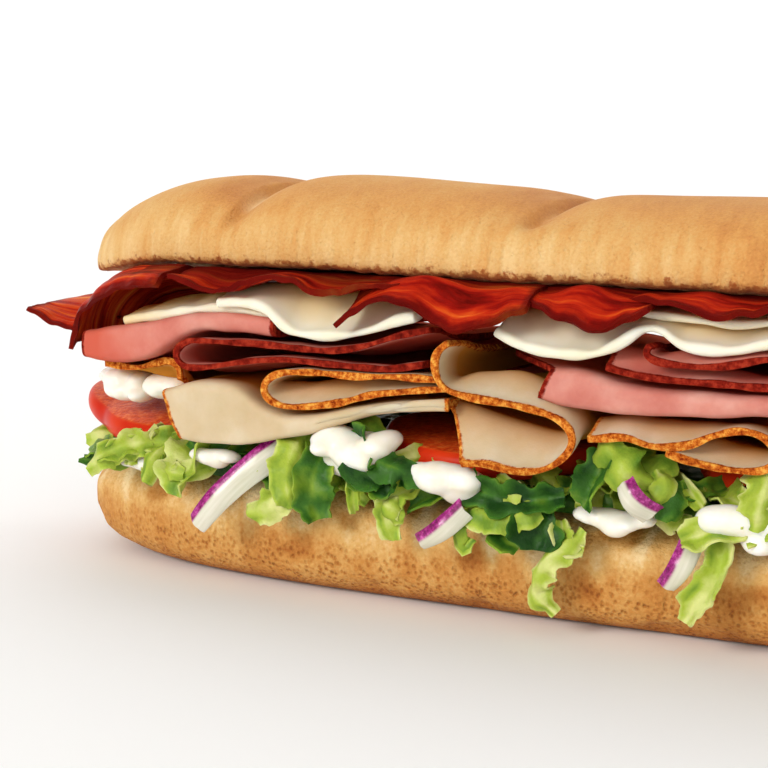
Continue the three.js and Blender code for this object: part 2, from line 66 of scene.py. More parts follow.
def linear(code: str) -> tuple[float, float, float, float]:
    """Turns an sRGB hex colour into linear light.

    Args:
        code: the colour as "#rrggbb".
    Returns:
        Red, green, blue and alpha, each from 0 to 1.
    """
    parts = [int(code[i:i + 2], 16) / 255 for i in (1, 3, 5)]
    light = [p / 12.92 if p <= 0.04045 else ((p + 0.055) / 1.055) ** 2.4 for p in parts]
    return (light[0], light[1], light[2], 1.0)


def per_mm(size: float) -> float:
    """Texture scale at which a pattern's features are about this many millimetres."""
    return 1.0 / (size * MM)


def smooth(t: float) -> float:
    """Eases a share from 0 to 1."""
    c = min(1.0, max(0.0, t))
    return c * c * (3 - 2 * c)


def wobble(x: float, y: float, z: float) -> float:
    """Soft noise from about -1 to 1."""
    return noise.noise(Vector((x, y, z)))


def signed_power(value: float, power: float) -> float:
    """Power that keeps the sign, for rounded box sections."""
    return math.copysign(abs(value) ** power, value)


def hash_of(name: str) -> float:
    """A number of a piece's own for its noise, the same each run."""
    return sum((i + 1) * ord(c) for i, c in enumerate(name)) % 97 + 0.37


def way_along(points: np.ndarray) -> np.ndarray:
    """How far along a path each of its points lies."""
    return np.concatenate([[0], np.cumsum(np.linalg.norm(np.diff(points, axis=0), axis=1))])


def through(rows: Rows, steps: int) -> np.ndarray:
    """Evenly spaced points on a smooth curve through rows of two or three numbers.

    Args:
        rows: the numbers that the curve runs through.
        steps: how many equal steps the curve is cut into.
    Returns:
        One row of three numbers for each point, steps + 1 in all.
    """
    p = np.array([[*r, 0.0][:3] for r in rows], float)
    p = np.vstack([2 * p[0] - p[1], p, 2 * p[-1] - p[-2]])
    t = np.linspace(0, 1, 24, endpoint=False)[:, None]
    runs = []
    for a, b, c, d in zip(p, p[1:], p[2:], p[3:]):
        cubic = -a + 3 * b - 3 * c + d
        square = 2 * a - 5 * b + 4 * c - d
        runs.append(0.5 * (2 * b + (c - a) * t + square * t ** 2 + cubic * t ** 3))
    fine = np.vstack([*runs, p[-2:-1]])
    length = way_along(fine)
    even = np.linspace(0, length[-1], steps + 1)
    return np.stack([np.interp(even, length, fine[:, k]) for k in range(3)], axis=1)


def add_node(
    tree: bpy.types.NodeTree, kind: str, inputs: dict | None = None, stops: Rows = (), **settings
) -> bpy.types.Node:
    """Adds a node with its settings and links.

    Args:
        tree: the material's tree.
        kind: the node's type.
        inputs: for each input its value, its hex colour or the socket that feeds it.
        stops: for a colour ramp, its places and hex colours.
        settings: the node's own properties.
    Returns:
        The node.
    """
    made = tree.nodes.new(kind)
    for key, value in settings.items():
        setattr(made, key, value)
    for key, value in (inputs or {}).items():
        if isinstance(value, bpy.types.NodeSocket):
            tree.links.new(value, made.inputs[key])
        else:
            made.inputs[key].default_value = linear(value) if isinstance(value, str) else value
    for i, (place, code) in enumerate(stops):
        ramp = made.color_ramp.elements
        stop = ramp[i] if i < 2 else ramp.new(place)
        stop.position = place
        stop.color = linear(code)
    return made


def start_material(name: str, **shader) -> tuple[bpy.types.Material, bpy.types.NodeTree, bpy.types.Node]:
    """A new material with its shader's constant values set.

    Args:
        name: the material's name.
        shader: values of the shader's sockets, with _ for a space.
    Returns:
        The material, its tree and its shader node.
    """
    material = bpy.data.materials.new(name)
    material.use_nodes = True
    tree = material.node_tree
    bsdf = tree.nodes["Principled BSDF"]
    for key, value in shader.items():
        bsdf.inputs[key.replace("_", " ")].default_value = value
    return material, tree, bsdf


def evenly(tones: Sequence[str], low: float = 0.0, high: float = 1.0) -> list[tuple[float, str]]:
    """Stops of a colour ramp: the tones at equal steps from low to high."""
    return list(zip(np.linspace(low, high, len(tones)).tolist(), tones))


class Relief(NamedTuple):
    """A layer of a surface's unevenness: its pattern, strength and depth in millimetres."""

    pattern: bpy.types.NodeSocket
    strength: float
    depth: float
    sunk: bool = False


def finish_material(
    tree: bpy.types.NodeTree, bsdf: bpy.types.Node, colour: bpy.types.NodeSocket, *layers: Relief
) -> None:
    """Gives a shader its colour and its layers of relief.

    Args:
        tree: the material's tree.
        bsdf: its shader node.
        colour: the finished colour.
        layers: the relief, the coarsest layer first.
    """
    tree.links.new(colour, bsdf.inputs["Base Color"])
    normal = {}
    for layer in layers:
        inputs = {"Height": layer.pattern, "Strength": layer.strength, "Distance": layer.depth * MM}
        bump = add_node(tree, "ShaderNodeBump", inputs | normal, invert=layer.sunk)
        normal = {"Normal": bump.outputs[0]}
    tree.links.new(normal["Normal"], bsdf.inputs["Normal"])


def paint_inner_shade(
    tree: bpy.types.NodeTree, colour: bpy.types.NodeSocket, deep: str, outer: float, inner: float
) -> bpy.types.NodeSocket:
    """Paints warm shade on a food inside the filling, in place of its colour at the open side.

    Args:
        tree: the material's tree.
        colour: the food's colour at the open side.
        deep: the colour of the painted shade inside, as #rrggbb.
        outer: how far from the roll's middle line the painted shade starts, in millimetres.
        inner: how far from the middle line it is full.
    Returns:
        The colour with its painted shade.
    """
    coords = add_node(tree, "ShaderNodeTexCoord").outputs["Object"]
    parts = add_node(tree, "ShaderNodeSeparateXYZ", {0: coords})
    out = add_node(tree, "ShaderNodeMath", {0: parts.outputs["Y"]}, operation="ABSOLUTE")
    depth = add_node(
        tree, "ShaderNodeMapRange",
        {"Value": out.outputs[0], "From Min": outer * MM, "From Max": inner * MM},
    )
    shaded_inside = add_node(
        tree, "ShaderNodeMix", {MIX_FACTOR: depth.outputs[0], MIX_A: colour, MIX_B: deep}, data_type="RGBA"
    )
    return shaded_inside.outputs[MIX_OUT]


# Finishes

@dataclass(frozen=True)
class BakedCrust:
    """Wheat roll crust, oven baked: matt gold that browns where it stood highest, with soft
    wrinkles, open pores and a ragged toasted line where the roll was cut. Pores, pits and streaks
    are sizes in millimetres, and a share says how much its pattern darkens the crust."""

    name: str
    tones: tuple[str, ...]
    pore: float
    pore_depth: float
    pit: float
    pit_share: float
    streak: float
    streak_share: float
    grain_share: float
    toasted: str = "#97470f"
    crumb: str = "#ecd09a"
    pale: str = "#f0d3a2"

    def material(self) -> bpy.types.Material:
        """Builds the material from the crust's attributes and object coordinates."""
        made, tree, bsdf = start_material(
            self.name, Roughness=0.72, Specular_IOR_Level=0.3, Subsurface_Weight=0.12,
            Subsurface_Radius=(0.004, 0.002, 0.001), Subsurface_Scale=0.6,
        )
        coords = add_node(tree, "ShaderNodeTexCoord").outputs["Object"]
        read = {
            key: add_node(tree, "ShaderNodeAttribute", attribute_name=key).outputs["Fac"]
            for key in ("toast", "rim", "cut", "pale", "pits")
        }
        # Soft upright streaks: fine along the roll, long up its side.
        upright = add_node(
            tree, "ShaderNodeMapping",
            {"Vector": coords, "Scale": (1.0, 0.35, 0.16), "Rotation": (0, 0.12, 0)},
        )
        streak = add_node(
            tree, "ShaderNodeTexNoise",
            {"Vector": upright.outputs[0], "Scale": per_mm(self.streak), "Detail": 2.0, "Roughness": 0.5},
        )
        # The streaks fade towards the crown, where the crust is drawn tight.
        lower = add_node(
            tree, "ShaderNodeMapRange",
            {"Value": read["rim"], "From Min": 7.0, "From Max": 17.0, "To Min": 1.0, "To Max": 0.25},
            interpolation_type="SMOOTHSTEP",
        )
        centred = add_node(
            tree, "ShaderNodeMath", {0: streak.outputs["Fac"], 1: 0.5}, operation="SUBTRACT"
        )
        strewn = add_node(
            tree, "ShaderNodeMath", {0: centred.outputs[0], 1: lower.outputs[0]}, operation="MULTIPLY"
        )
        grain = add_node(
            tree, "ShaderNodeTexNoise",
            {"Vector": coords, "Scale": per_mm(self.pore), "Detail": 4.0, "Roughness": 0.65},
        )
        # Open pits, a little taller than wide, most of them low on the side.
        stretched = add_node(tree, "ShaderNodeMapping", {"Vector": coords, "Scale": (1.0, 1.0, 0.75)})
        cells = add_node(
            tree, "ShaderNodeTexVoronoi",
            {"Vector": stretched.outputs[0], "Scale": per_mm(self.pit), "Randomness": 1.0},
        )
        pit = add_node(
            tree, "ShaderNodeMapRange",
            {"Value": cells.outputs["Distance"], "From Min": 0.05, "From Max": 0.58,
             "To Min": 1.0, "To Max": 0.0},
            interpolation_type="SMOOTHSTEP",
        )
        patchy = add_node(
            tree, "ShaderNodeTexNoise", {"Vector": coords, "Scale": per_mm(4.0), "Detail": 2.0}
        )
        some = add_node(
            tree, "ShaderNodeMapRange",
            {"Value": patchy.outputs["Fac"], "From Min": 0.36, "From Max": 0.62, "To Min": 0.55},
        )
        spread = add_node(
            tree, "ShaderNodeMath", {0: some.outputs[0], 1: read["pits"]}, operation="MULTIPLY"
        )
        pitted = add_node(
            tree, "ShaderNodeMath", {0: pit.outputs[0], 1: spread.outputs[0]}, operation="MULTIPLY"
        )
        cloud = add_node(
            tree, "ShaderNodeTexNoise",
            {"Vector": coords, "Scale": per_mm(14.0), "Detail": 3.0, "Roughness": 0.5},
        )
        streaked = add_node(
            tree, "ShaderNodeMath",
            {0: strewn.outputs[0], 1: self.streak_share, 2: read["toast"]}, operation="MULTIPLY_ADD",
        )
        grained = add_node(
            tree, "ShaderNodeMath",
            {0: grain.outputs["Fac"], 1: self.grain_share, 2: streaked.outputs[0]}, operation="MULTIPLY_ADD",
        )
        darkened = add_node(
            tree, "ShaderNodeMath",
            {0: pitted.outputs[0], 1: self.pit_share, 2: grained.outputs[0]}, operation="MULTIPLY_ADD",
        )
        clouded = add_node(
            tree, "ShaderNodeMath",
            {0: cloud.outputs["Fac"], 1: 0.3, 2: darkened.outputs[0]}, operation="MULTIPLY_ADD",
        )
        middle = 0.5 * (self.grain_share + 0.3)
        tone = add_node(
            tree, "ShaderNodeMath", {0: clouded.outputs[0], 1: middle}, operation="SUBTRACT", use_clamp=True
        )
        crust = add_node(
            tree, "ShaderNodeValToRGB", {"Fac": tone.outputs[0]},
            stops=evenly(self.tones),
        )
        lighter = add_node(
            tree, "ShaderNodeMix",
            {MIX_FACTOR: read["pale"], MIX_A: crust.outputs["Color"], MIX_B: self.pale}, data_type="RGBA",
        )
        # The cut edge browns in teeth: the noise moves the line where the toasting ends.
        teeth = add_node(
            tree, "ShaderNodeTexNoise",
            {"Vector": coords, "Scale": per_mm(1.7), "Detail": 3.0, "Roughness": 0.6},
        )
        ragged = add_node(
            tree, "ShaderNodeMath",
            {0: teeth.outputs["Fac"], 1: -7.0, 2: read["rim"]}, operation="MULTIPLY_ADD",
        )
        toasting = add_node(
            tree, "ShaderNodeMapRange",
            {"Value": ragged.outputs[0], "From Min": -3.3, "From Max": -1.8, "To Min": 0.92, "To Max": 0.0},
            interpolation_type="SMOOTHSTEP",
        )
        edged = add_node(
            tree, "ShaderNodeMix",
            {MIX_FACTOR: toasting.outputs[0], MIX_A: lighter.outputs[MIX_OUT], MIX_B: self.toasted},
            data_type="RGBA",
        )
        crumbed = add_node(
            tree, "ShaderNodeMix",
            {MIX_FACTOR: read["cut"], MIX_A: edged.outputs[MIX_OUT], MIX_B: self.crumb}, data_type="RGBA",
        )
        folds = Relief(strewn.outputs[0], 0.8, 1.1)
        pores = Relief(grain.outputs["Fac"], 0.8, self.pore_depth)
        dents = Relief(pitted.outputs[0], 0.8, 0.5, sunk=True)
        finish_material(tree, bsdf, crumbed.outputs[MIX_OUT], folds, pores, dents)
        return made


@dataclass(frozen=True)
class SlicedMeat:
    """Cooked meat, cut thin by machine: a smooth moist face, clouded, inside a darker rind."""

    name: str
    flesh: tuple[str, str, str]
    rind: tuple[str, str, str]
    # Colour of the painted warm shade where the meat lies inside the filling
    deep: str
    rind_width: float
    speckle: float
    roughness: float
    translucency: float = 0.25

    def material(self) -> bpy.types.Material:
        """Builds the material: the rind follows the slice's rim attribute, and the deep tone is painted warm
        shade inside the filling.
        """
        made, tree, bsdf = start_material(
            self.name, Roughness=self.roughness, Specular_IOR_Level=0.0, Subsurface_Weight=self.translucency,
            Subsurface_Radius=(0.005, 0.0025, 0.0012), Subsurface_Scale=0.5,
        )
        coords = add_node(tree, "ShaderNodeTexCoord").outputs["Object"]
        rim = add_node(tree, "ShaderNodeAttribute", attribute_name="rim").outputs["Fac"]
        cloud = add_node(
            tree, "ShaderNodeTexNoise",
            {"Vector": coords, "Scale": per_mm(11.0), "Detail": 5.0, "Roughness": 0.55},
        )
        flesh = add_node(
            tree, "ShaderNodeValToRGB", {"Fac": cloud.outputs["Fac"]},
            stops=evenly(self.flesh, 0.3, 0.7),
        )
        # Painted shade: the meat turns to its deep tone inside the filling, where the filling shades it.
        inner_shaded = paint_inner_shade(tree, flesh.outputs["Color"], self.deep, 45.0, 37.0)
        speckle = add_node(
            tree, "ShaderNodeTexNoise",
            {"Vector": coords, "Scale": per_mm(self.speckle), "Detail": 4.0, "Roughness": 0.7},
        )
        rind = add_node(
            tree, "ShaderNodeValToRGB", {"Fac": speckle.outputs["Fac"]},
            stops=list(zip((0.36, 0.5, 0.66), self.rind)),
        )
        uneven = add_node(
            tree, "ShaderNodeMath", {0: speckle.outputs["Fac"], 1: 1.2, 2: rim}, operation="MULTIPLY_ADD"
        )
        share = add_node(
            tree, "ShaderNodeMapRange",
            {"Value": uneven.outputs[0], "From Min": 0.6 + 0.55 * self.rind_width,
             "From Max": 0.6 + self.rind_width, "To Min": 1.0, "To Max": 0.0},
            interpolation_type="SMOOTHSTEP",
        )
        colour = add_node(
            tree, "ShaderNodeMix",
            {MIX_FACTOR: share.outputs[0], MIX_A: inner_shaded, MIX_B: rind.outputs["Color"]},
            data_type="RGBA",
        )
        finish_material(tree, bsdf, colour.outputs[MIX_OUT], Relief(speckle.outputs["Fac"], 0.25, 0.25))
        return made


@dataclass(frozen=True)
class FriedBacon:
    """Streaky bacon, fried crisp: wet red lean with orange fat along the strip and dark edges."""

    name: str = "bacon fried crisp"
    lean: tuple[str, ...] = ("#580a06", "#8c130b", "#b52a11", "#cd501a", "#e28c3c")
    # The dark edge colour, also used as painted shade under the roll
    edge: str = "#560d0a"
    streak_across: float = 2.6
    streak_along: float = 26.0

    def material(self) -> bpy.types.Material:
        """Builds the material: streaks follow the strip's own UV map."""
        made, tree, bsdf = start_material(
            self.name, Roughness=0.34, Specular_IOR_Level=0.01, Subsurface_Weight=0.15,
            Subsurface_Radius=(0.004, 0.001, 0.0006), Subsurface_Scale=0.5,
        )
        coords = add_node(tree, "ShaderNodeTexCoord")
        rim = add_node(tree, "ShaderNodeAttribute", attribute_name="rim").outputs["Fac"]
        run = add_node(
            tree, "ShaderNodeMapping",
            {"Vector": coords.outputs["UV"],
             "Scale": (per_mm(self.streak_along), per_mm(self.streak_across), 1.0)},
        )
        streak = add_node(
            tree, "ShaderNodeTexNoise",
            {"Vector": run.outputs[0], "Scale": 1.0, "Detail": 5.0, "Roughness": 0.6, "Distortion": 0.35},
        )
        # The free rashers at the left end have more fat, and what lies under the roll gets painted shade,
        # darkened towards the edge colour.
        parts = add_node(tree, "ShaderNodeSeparateXYZ", {0: coords.outputs["Object"]})
        fatty = add_node(
            tree, "ShaderNodeMapRange",
            {"Value": parts.outputs["X"], "From Min": -136.0 * MM, "From Max": -106.0 * MM,
             "To Min": 0.05, "To Max": 0.0},
        )
        deep = add_node(tree, "ShaderNodeMath", {0: parts.outputs["Y"]}, operation="ABSOLUTE")
        under_roll = add_node(
            tree, "ShaderNodeMapRange",
            {"Value": deep.outputs[0], "From Min": 43.0 * MM, "From Max": 38.0 * MM, "To Max": 0.8},
        )
        bare = add_node(
            tree, "ShaderNodeMath", {0: fatty.outputs[0], 1: 0.01}, operation="LESS_THAN"
        )
        painted_shade = add_node(
            tree, "ShaderNodeMath", {0: under_roll.outputs[0], 1: bare.outputs[0]}, operation="MULTIPLY"
        )
        fat = add_node(
            tree, "ShaderNodeMath", {0: streak.outputs["Fac"], 1: fatty.outputs[0]}, operation="ADD"
        )
        lean = add_node(
            tree, "ShaderNodeValToRGB", {"Fac": fat.outputs[0]},
            stops=evenly(self.lean, 0.32, 0.72),
        )
        crackle = add_node(
            tree, "ShaderNodeTexNoise",
            {"Vector": coords.outputs["Object"], "Scale": per_mm(1.6), "Detail": 4.0, "Roughness": 0.6},
        )
        uneven = add_node(
            tree, "ShaderNodeMath", {0: crackle.outputs["Fac"], 1: 1.6, 2: rim}, operation="MULTIPLY_ADD"
        )
        share = add_node(
            tree, "ShaderNodeMapRange",
            {"Value": uneven.outputs[0], "From Min": 0.8, "From Max": 2.7, "To Min": 0.85, "To Max": 0.0},
            interpolation_type="SMOOTHSTEP",
        )
        colour = add_node(
            tree, "ShaderNodeMix",
            {MIX_FACTOR: share.outputs[0], MIX_A: lean.outputs["Color"], MIX_B: self.edge}, data_type="RGBA",
        )
        # Painted shade: the lean is darkened under the roll, except on the free rashers at the left end.
        shaded_lean = add_node(
            tree, "ShaderNodeMix",
            {MIX_FACTOR: painted_shade.outputs[0], MIX_A: colour.outputs[MIX_OUT], MIX_B: self.edge},
            data_type="RGBA",
        )
        ridges = Relief(streak.outputs["Fac"], 0.9, 1.0)
        rough = Relief(crackle.outputs["Fac"], 0.3, 0.3)
        finish_material(tree, bsdf, shaded_lean.outputs[MIX_OUT], ridges, rough)
        return made


@dataclass(frozen=True)
class PlainFood:
    """A food that is one substance all through, clouded in three tones: soft cheese or
    creamy sauce."""

    name: str
    tones: tuple[str, str, str]
    cloud: float
    roughness: float
    translucency: float
    dent: float
    gloss: float
    # Colour of the painted warm shade where the food lies inside the filling
    deep: str

    def material(self) -> bpy.types.Material:
        """Builds the material from object coordinates: the deep tone is painted warm shade inside the
        filling.
        """
        made, tree, bsdf = start_material(
            self.name, Roughness=self.roughness, Specular_IOR_Level=self.gloss,
            Subsurface_Weight=self.translucency, Subsurface_Radius=(0.006, 0.0045, 0.003),
            Subsurface_Scale=0.5,
        )
        coords = add_node(tree, "ShaderNodeTexCoord").outputs["Object"]
        cloud = add_node(
            tree, "ShaderNodeTexNoise",
            {"Vector": coords, "Scale": per_mm(self.cloud), "Detail": 4.0, "Roughness": 0.5},
        )
        tint = add_node(
            tree, "ShaderNodeValToRGB", {"Fac": cloud.outputs["Fac"]},
            stops=evenly(self.tones, 0.3, 0.7),
        )
        # Painted shade: the food turns to its deep tone inside the filling.
        inner_shaded = paint_inner_shade(tree, tint.outputs["Color"], self.deep, 43.0, 34.0)
        finish_material(tree, bsdf, inner_shaded, Relief(cloud.outputs["Fac"], 0.4, self.dent))
        return made


@dataclass(frozen=True)
class TomatoFlesh:
    """Ripe tomato, sliced: a glossy skin at the rim and wet, grainy flesh inside it."""

    name: str = "tomato ripe sliced"
    skin: tuple[str, str] = ("#bf220e", "#d23a16")
    flesh: tuple[str, str, str] = ("#c03810", "#d9511c", "#e87834")

    def material(self) -> bpy.types.Material:
        """Builds the material: the rim attribute parts the skin from the flesh."""
        made, tree, bsdf = start_material(
            self.name, Roughness=0.3, Specular_IOR_Level=0.06, Subsurface_Weight=0.2,
            Subsurface_Radius=(0.006, 0.0015, 0.0008), Subsurface_Scale=0.6,
        )
        coords = add_node(tree, "ShaderNodeTexCoord").outputs["Object"]
        rim = add_node(tree, "ShaderNodeAttribute", attribute_name="rim").outputs["Fac"]
        cloud = add_node(
            tree, "ShaderNodeTexNoise", {"Vector": coords, "Scale": per_mm(9.0), "Detail": 2.0}
        )
        grain = add_node(
            tree, "ShaderNodeTexNoise",
            {"Vector": coords, "Scale": per_mm(1.3), "Detail": 4.0, "Roughness": 0.65},
        )
        skin = add_node(
            tree, "ShaderNodeValToRGB", {"Fac": cloud.outputs["Fac"]},
            stops=evenly(self.skin, 0.35, 0.65),
        )
        flesh = add_node(
            tree, "ShaderNodeValToRGB", {"Fac": grain.outputs["Fac"]},
            stops=list(zip((0.34, 0.5, 0.68), self.flesh)),
        )
        share = add_node(
            tree, "ShaderNodeMapRange",
            {"Value": rim, "From Min": 0.4, "From Max": 1.0, "To Min": 0.0, "To Max": 1.0},
            interpolation_type="SMOOTHSTEP",
        )
        colour = add_node(
            tree, "ShaderNodeMix",
            {MIX_FACTOR: share.outputs[0], MIX_A: skin.outputs["Color"], MIX_B: flesh.outputs["Color"]},
            data_type="RGBA",
        )
        depth = add_node(
            tree, "ShaderNodeMath", {0: grain.outputs["Fac"], 1: share.outputs[0]}, operation="MULTIPLY"
        )
        finish_material(tree, bsdf, colour.outputs[MIX_OUT], Relief(depth.outputs[0], 0.5, 0.5))
        return made


@dataclass(frozen=True)
class OnionFlesh:
    """Raw red onion, cut in strips: wet, nearly white flesh with fine lines and a purple skin."""

    name: str = "red onion raw cut"
    flesh: tuple[str, str] = ("#c9c7ae", "#dfdbcb")
    skin: tuple[str, str, str] = ("#6d0a4d", "#9c1a76", "#c957a6")
    skin_width: float = 1.5

    def material(self) -> bpy.types.Material:
        """Builds the material: the rim attribute is the way in from the skin."""
        made, tree, bsdf = start_material(
            self.name, Roughness=0.25, Specular_IOR_Level=0.5, Subsurface_Weight=0.35,
            Subsurface_Radius=(0.004, 0.003, 0.003), Subsurface_Scale=0.5,
        )
        coords = add_node(tree, "ShaderNodeTexCoord")
        rim = add_node(tree, "ShaderNodeAttribute", attribute_name="rim").outputs["Fac"]
        run = add_node(
            tree, "ShaderNodeMapping",
            {"Vector": coords.outputs["UV"], "Scale": (per_mm(14.0), per_mm(0.9), 1.0)},
        )
        lines = add_node(
            tree, "ShaderNodeTexNoise", {"Vector": run.outputs[0], "Scale": 1.0, "Detail": 3.0}
        )
        speck = add_node(
            tree, "ShaderNodeTexNoise",
            {"Vector": coords.outputs["Object"], "Scale": per_mm(0.9), "Detail": 3.0, "Roughness": 0.7},
        )
        flesh = add_node(
            tree, "ShaderNodeValToRGB", {"Fac": lines.outputs["Fac"]},
            stops=evenly(self.flesh, 0.3, 0.65),
        )
        skin = add_node(
            tree, "ShaderNodeValToRGB", {"Fac": speck.outputs["Fac"]},
            stops=list(zip((0.35, 0.52, 0.7), self.skin)),
        )
        share = add_node(
            tree, "ShaderNodeMapRange",
            {"Value": rim, "From Min": 0.8 * self.skin_width, "From Max": 1.15 * self.skin_width,
             "To Min": 1.0, "To Max": 0.0},
            interpolation_type="SMOOTHSTEP",
        )
        colour = add_node(
            tree, "ShaderNodeMix",
            {MIX_FACTOR: share.outputs[0], MIX_A: flesh.outputs["Color"], MIX_B: skin.outputs["Color"]},
            data_type="RGBA",
        )
        finish_material(tree, bsdf, colour.outputs[MIX_OUT], Relief(lines.outputs["Fac"], 0.3, 0.3))
        return made


@dataclass(frozen=True)
class LettuceLeaf:
    """Crisp lettuce, cut in ribbons: waxy leaf from a pale heart to dark outer green, with veins."""

    name: str = "lettuce raw shredded"
    tones: tuple[str, ...] = ("#d2d888", "#a4b73f", "#71902a", "#3c6a20", "#1b3f14")

    def material(self) -> bpy.types.Material:
        """Builds the material: the tone attribute goes from heart to outer leaf."""
        made, tree, bsdf = start_material(
            self.name, Roughness=0.38, Specular_IOR_Level=0.14, Subsurface_Weight=0.3,
            Subsurface_Radius=(0.002, 0.003, 0.0008), Subsurface_Scale=0.6,
        )
        coords = add_node(tree, "ShaderNodeTexCoord")
        tone = add_node(tree, "ShaderNodeAttribute", attribute_name="tone").outputs["Fac"]
        blade = add_node(
            tree, "ShaderNodeTexNoise",
            {"Vector": coords.outputs["Object"], "Scale": per_mm(4.5), "Detail": 4.0, "Roughness": 0.6},
        )
        mixed = add_node(
            tree, "ShaderNodeMath", {0: blade.outputs["Fac"], 1: 0.5, 2: tone}, operation="MULTIPLY_ADD"
        )
        shade = add_node(
            tree, "ShaderNodeMath", {0: mixed.outputs[0], 1: 0.25}, operation="SUBTRACT", use_clamp=True
        )
        colour = add_node(
            tree, "ShaderNodeValToRGB", {"Fac": shade.outputs[0]},
            stops=evenly(self.tones),
        )
        veins = add_node(
            tree, "ShaderNodeTexNoise",
            {"Vector": coords.outputs["Object"], "Scale": per_mm(1.8), "Detail": 3.0, "Roughness": 0.6},
        )
        finish_material(tree, bsdf, colour.outputs["Color"], Relief(veins.outputs["Fac"], 0.5, 0.6))
        return made


class Look(Enum):
    """The finishes of the sandwich, each with the record's slot that it belongs to."""

    BREAD_TOP = "bread_top"
    BREAD_BASE = "bread_base"
    TURKEY = "turkey"
    HAM = "ham"
    CHEESE = "cheese"
    BACON = "bacon"
    TOMATO = "tomato"
    ONION = "onion"
    SAUCE = "sauce"
    LETTUCE = "lettuce"


class Pantry:
    """Makes each finish once and hands out its material."""

    def __init__(self) -> None:
        """Makes all the materials."""
        crust = ("#e5c084", "#dbab68", "#d49750", "#c27d3d", "#97551e")
        tray = ("#efd09a", "#ddad66", "#c98a41", "#b06a26", "#8a4714")
        # A food's deep tone is the colour of painted warm shade where it lies inside the filling.
        finishes = {
            Look.BREAD_TOP: BakedCrust(
                "wheat crust baked smooth", crust, pore=0.6, pore_depth=0.45, pit=0.7, pit_share=0.12,
                streak=2.6, streak_share=0.85, grain_share=0.5,
            ),
            Look.BREAD_BASE: BakedCrust(
                "wheat crust baked on a tray", tray, pore=0.9, pore_depth=0.6, pit=0.95, pit_share=0.3,
                streak=4.0, streak_share=0.6, grain_share=0.5,
            ),
            Look.TURKEY: SlicedMeat(
                "turkey breast roasted sliced", flesh=("#c6b08a", "#cfbb9a", "#d9c9ae"),
                rind=("#7c2b0e", "#c06420", "#e6a748"), deep="#c07c2e", rind_width=1.0, speckle=1.1,
                roughness=0.45,
            ),
            Look.HAM: SlicedMeat(
                "ham smoked sliced", flesh=("#bd6a5e", "#cc8577", "#d9a192"),
                rind=("#56110b", "#801f14", "#a53824"), deep="#c65c49", rind_width=1.2, speckle=1.5,
                roughness=0.38,
            ),
            Look.CHEESE: PlainFood(
                "white cheese melted soft", ("#e8e0bc", "#eee8d0", "#f3efdf"), cloud=16.0, roughness=0.33,
                translucency=0.5, dent=0.3, gloss=0.06, deep="#e2b565",
            ),
            Look.BACON: FriedBacon(),
            Look.TOMATO: TomatoFlesh(),
            Look.ONION: OnionFlesh(),
            Look.SAUCE: PlainFood(
                "cream sauce spooned", ("#f1ead6", "#f7f2e4", "#fbf8ef"), cloud=5.0, roughness=0.2,
                translucency=0.45, dent=0.5, gloss=0.22, deep="#f7f2e4",
            ),
            Look.LETTUCE: LettuceLeaf(),
        }
        self._made = {look: finish.material() for look, finish in finishes.items()}

    def material(self, look: Look) -> bpy.types.Material:
        """The material of a finish."""
        return self._made[look]


# Making pieces

class Spot(NamedTuple):
    """Where a point of a sheet lies, and how far along, across and from the rim it is, in mm."""

    at: Vector
    along: float
    across: float
    rim: float


Place = Callable[[float, float], Spot]


class Maker:
    """Turns meshes into pieces that ride on the sandwich and stand for its solids."""

    def __init__(self, pantry: Pantry) -> None:
        """Keeps the materials at hand."""
        self.pantry = pantry

    def piece(self, bm: bmesh.types.BMesh, name: str, look: Look, *nodes: str) -> bpy.types.Object:
        """Makes a mesh a piece of the sandwich.

        Args:
            bm: the mesh, in metres, which is freed.
            name: the piece's name.
            look: its finish.
            nodes: the solids that it stands for.
        Returns:
            The piece.
        """
        for face in bm.faces:
            face.smooth = True
        mesh = bpy.data.meshes.new(name)
        bm.to_mesh(mesh)
        bm.free()
        made = bpy.data.objects.new(name, mesh)
        bpy.context.scene.collection.objects.link(made)
        mesh.materials.append(self.pantry.material(look))
        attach(made, "root")
        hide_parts(*nodes)
        LOG.info("%s: %d faces", name, len(mesh.polygons))
        return made

    def sheet(
        self, name: str, look: Look, node: str, steps: tuple[int, int], place: Place, thick: float,
        crisp: float = 0.0,
    ) -> bpy.types.Object:
        """Makes a slice from a grid that is bent, thickened and rounded off.

        Args:
            name: the piece's name.
            look: its finish.
            node: the solid that it stands for.
            steps: the grid's steps along and across.
            place: gives the spot for each pair of shares.
            thick: the slice's thickness.
            crisp: how sharp its cut edges stay, from 0 to 1.
        Returns:
            The piece.
        """
        bm = bmesh.new()
        bmesh.ops.create_grid(bm, x_segments=steps[0], y_segments=steps[1], size=0.5)
        rim = bm.verts.layers.float.new("rim")
        body = bm.verts.layers.deform.new()
        uv = bm.loops.layers.uv.new("UVMap")
        spots = {}
        for vert in bm.verts:
            spot = place(vert.co.x + 0.5, vert.co.y + 0.5)
            spots[vert] = spot
            vert[rim] = spot.rim
            vert[body][0] = 0.8 + 0.4 * wobble(spot.along / 5, spot.across / 9, thick)
            vert.co = spot.at * MM
        for face in bm.faces:
            for loop in face.loops:
                spot = spots[loop.vert]
                loop[uv].uv = (spot.along * MM, spot.across * MM)
        for edge in bm.edges:
            edge.smooth = not (crisp and edge.is_boundary)
        made = self.piece(bm, name, look, node)
        made.vertex_groups.new(name="body")
        thicken(made, thick, crisp).vertex_group = "body"
        round_off(made, 1)
        return made


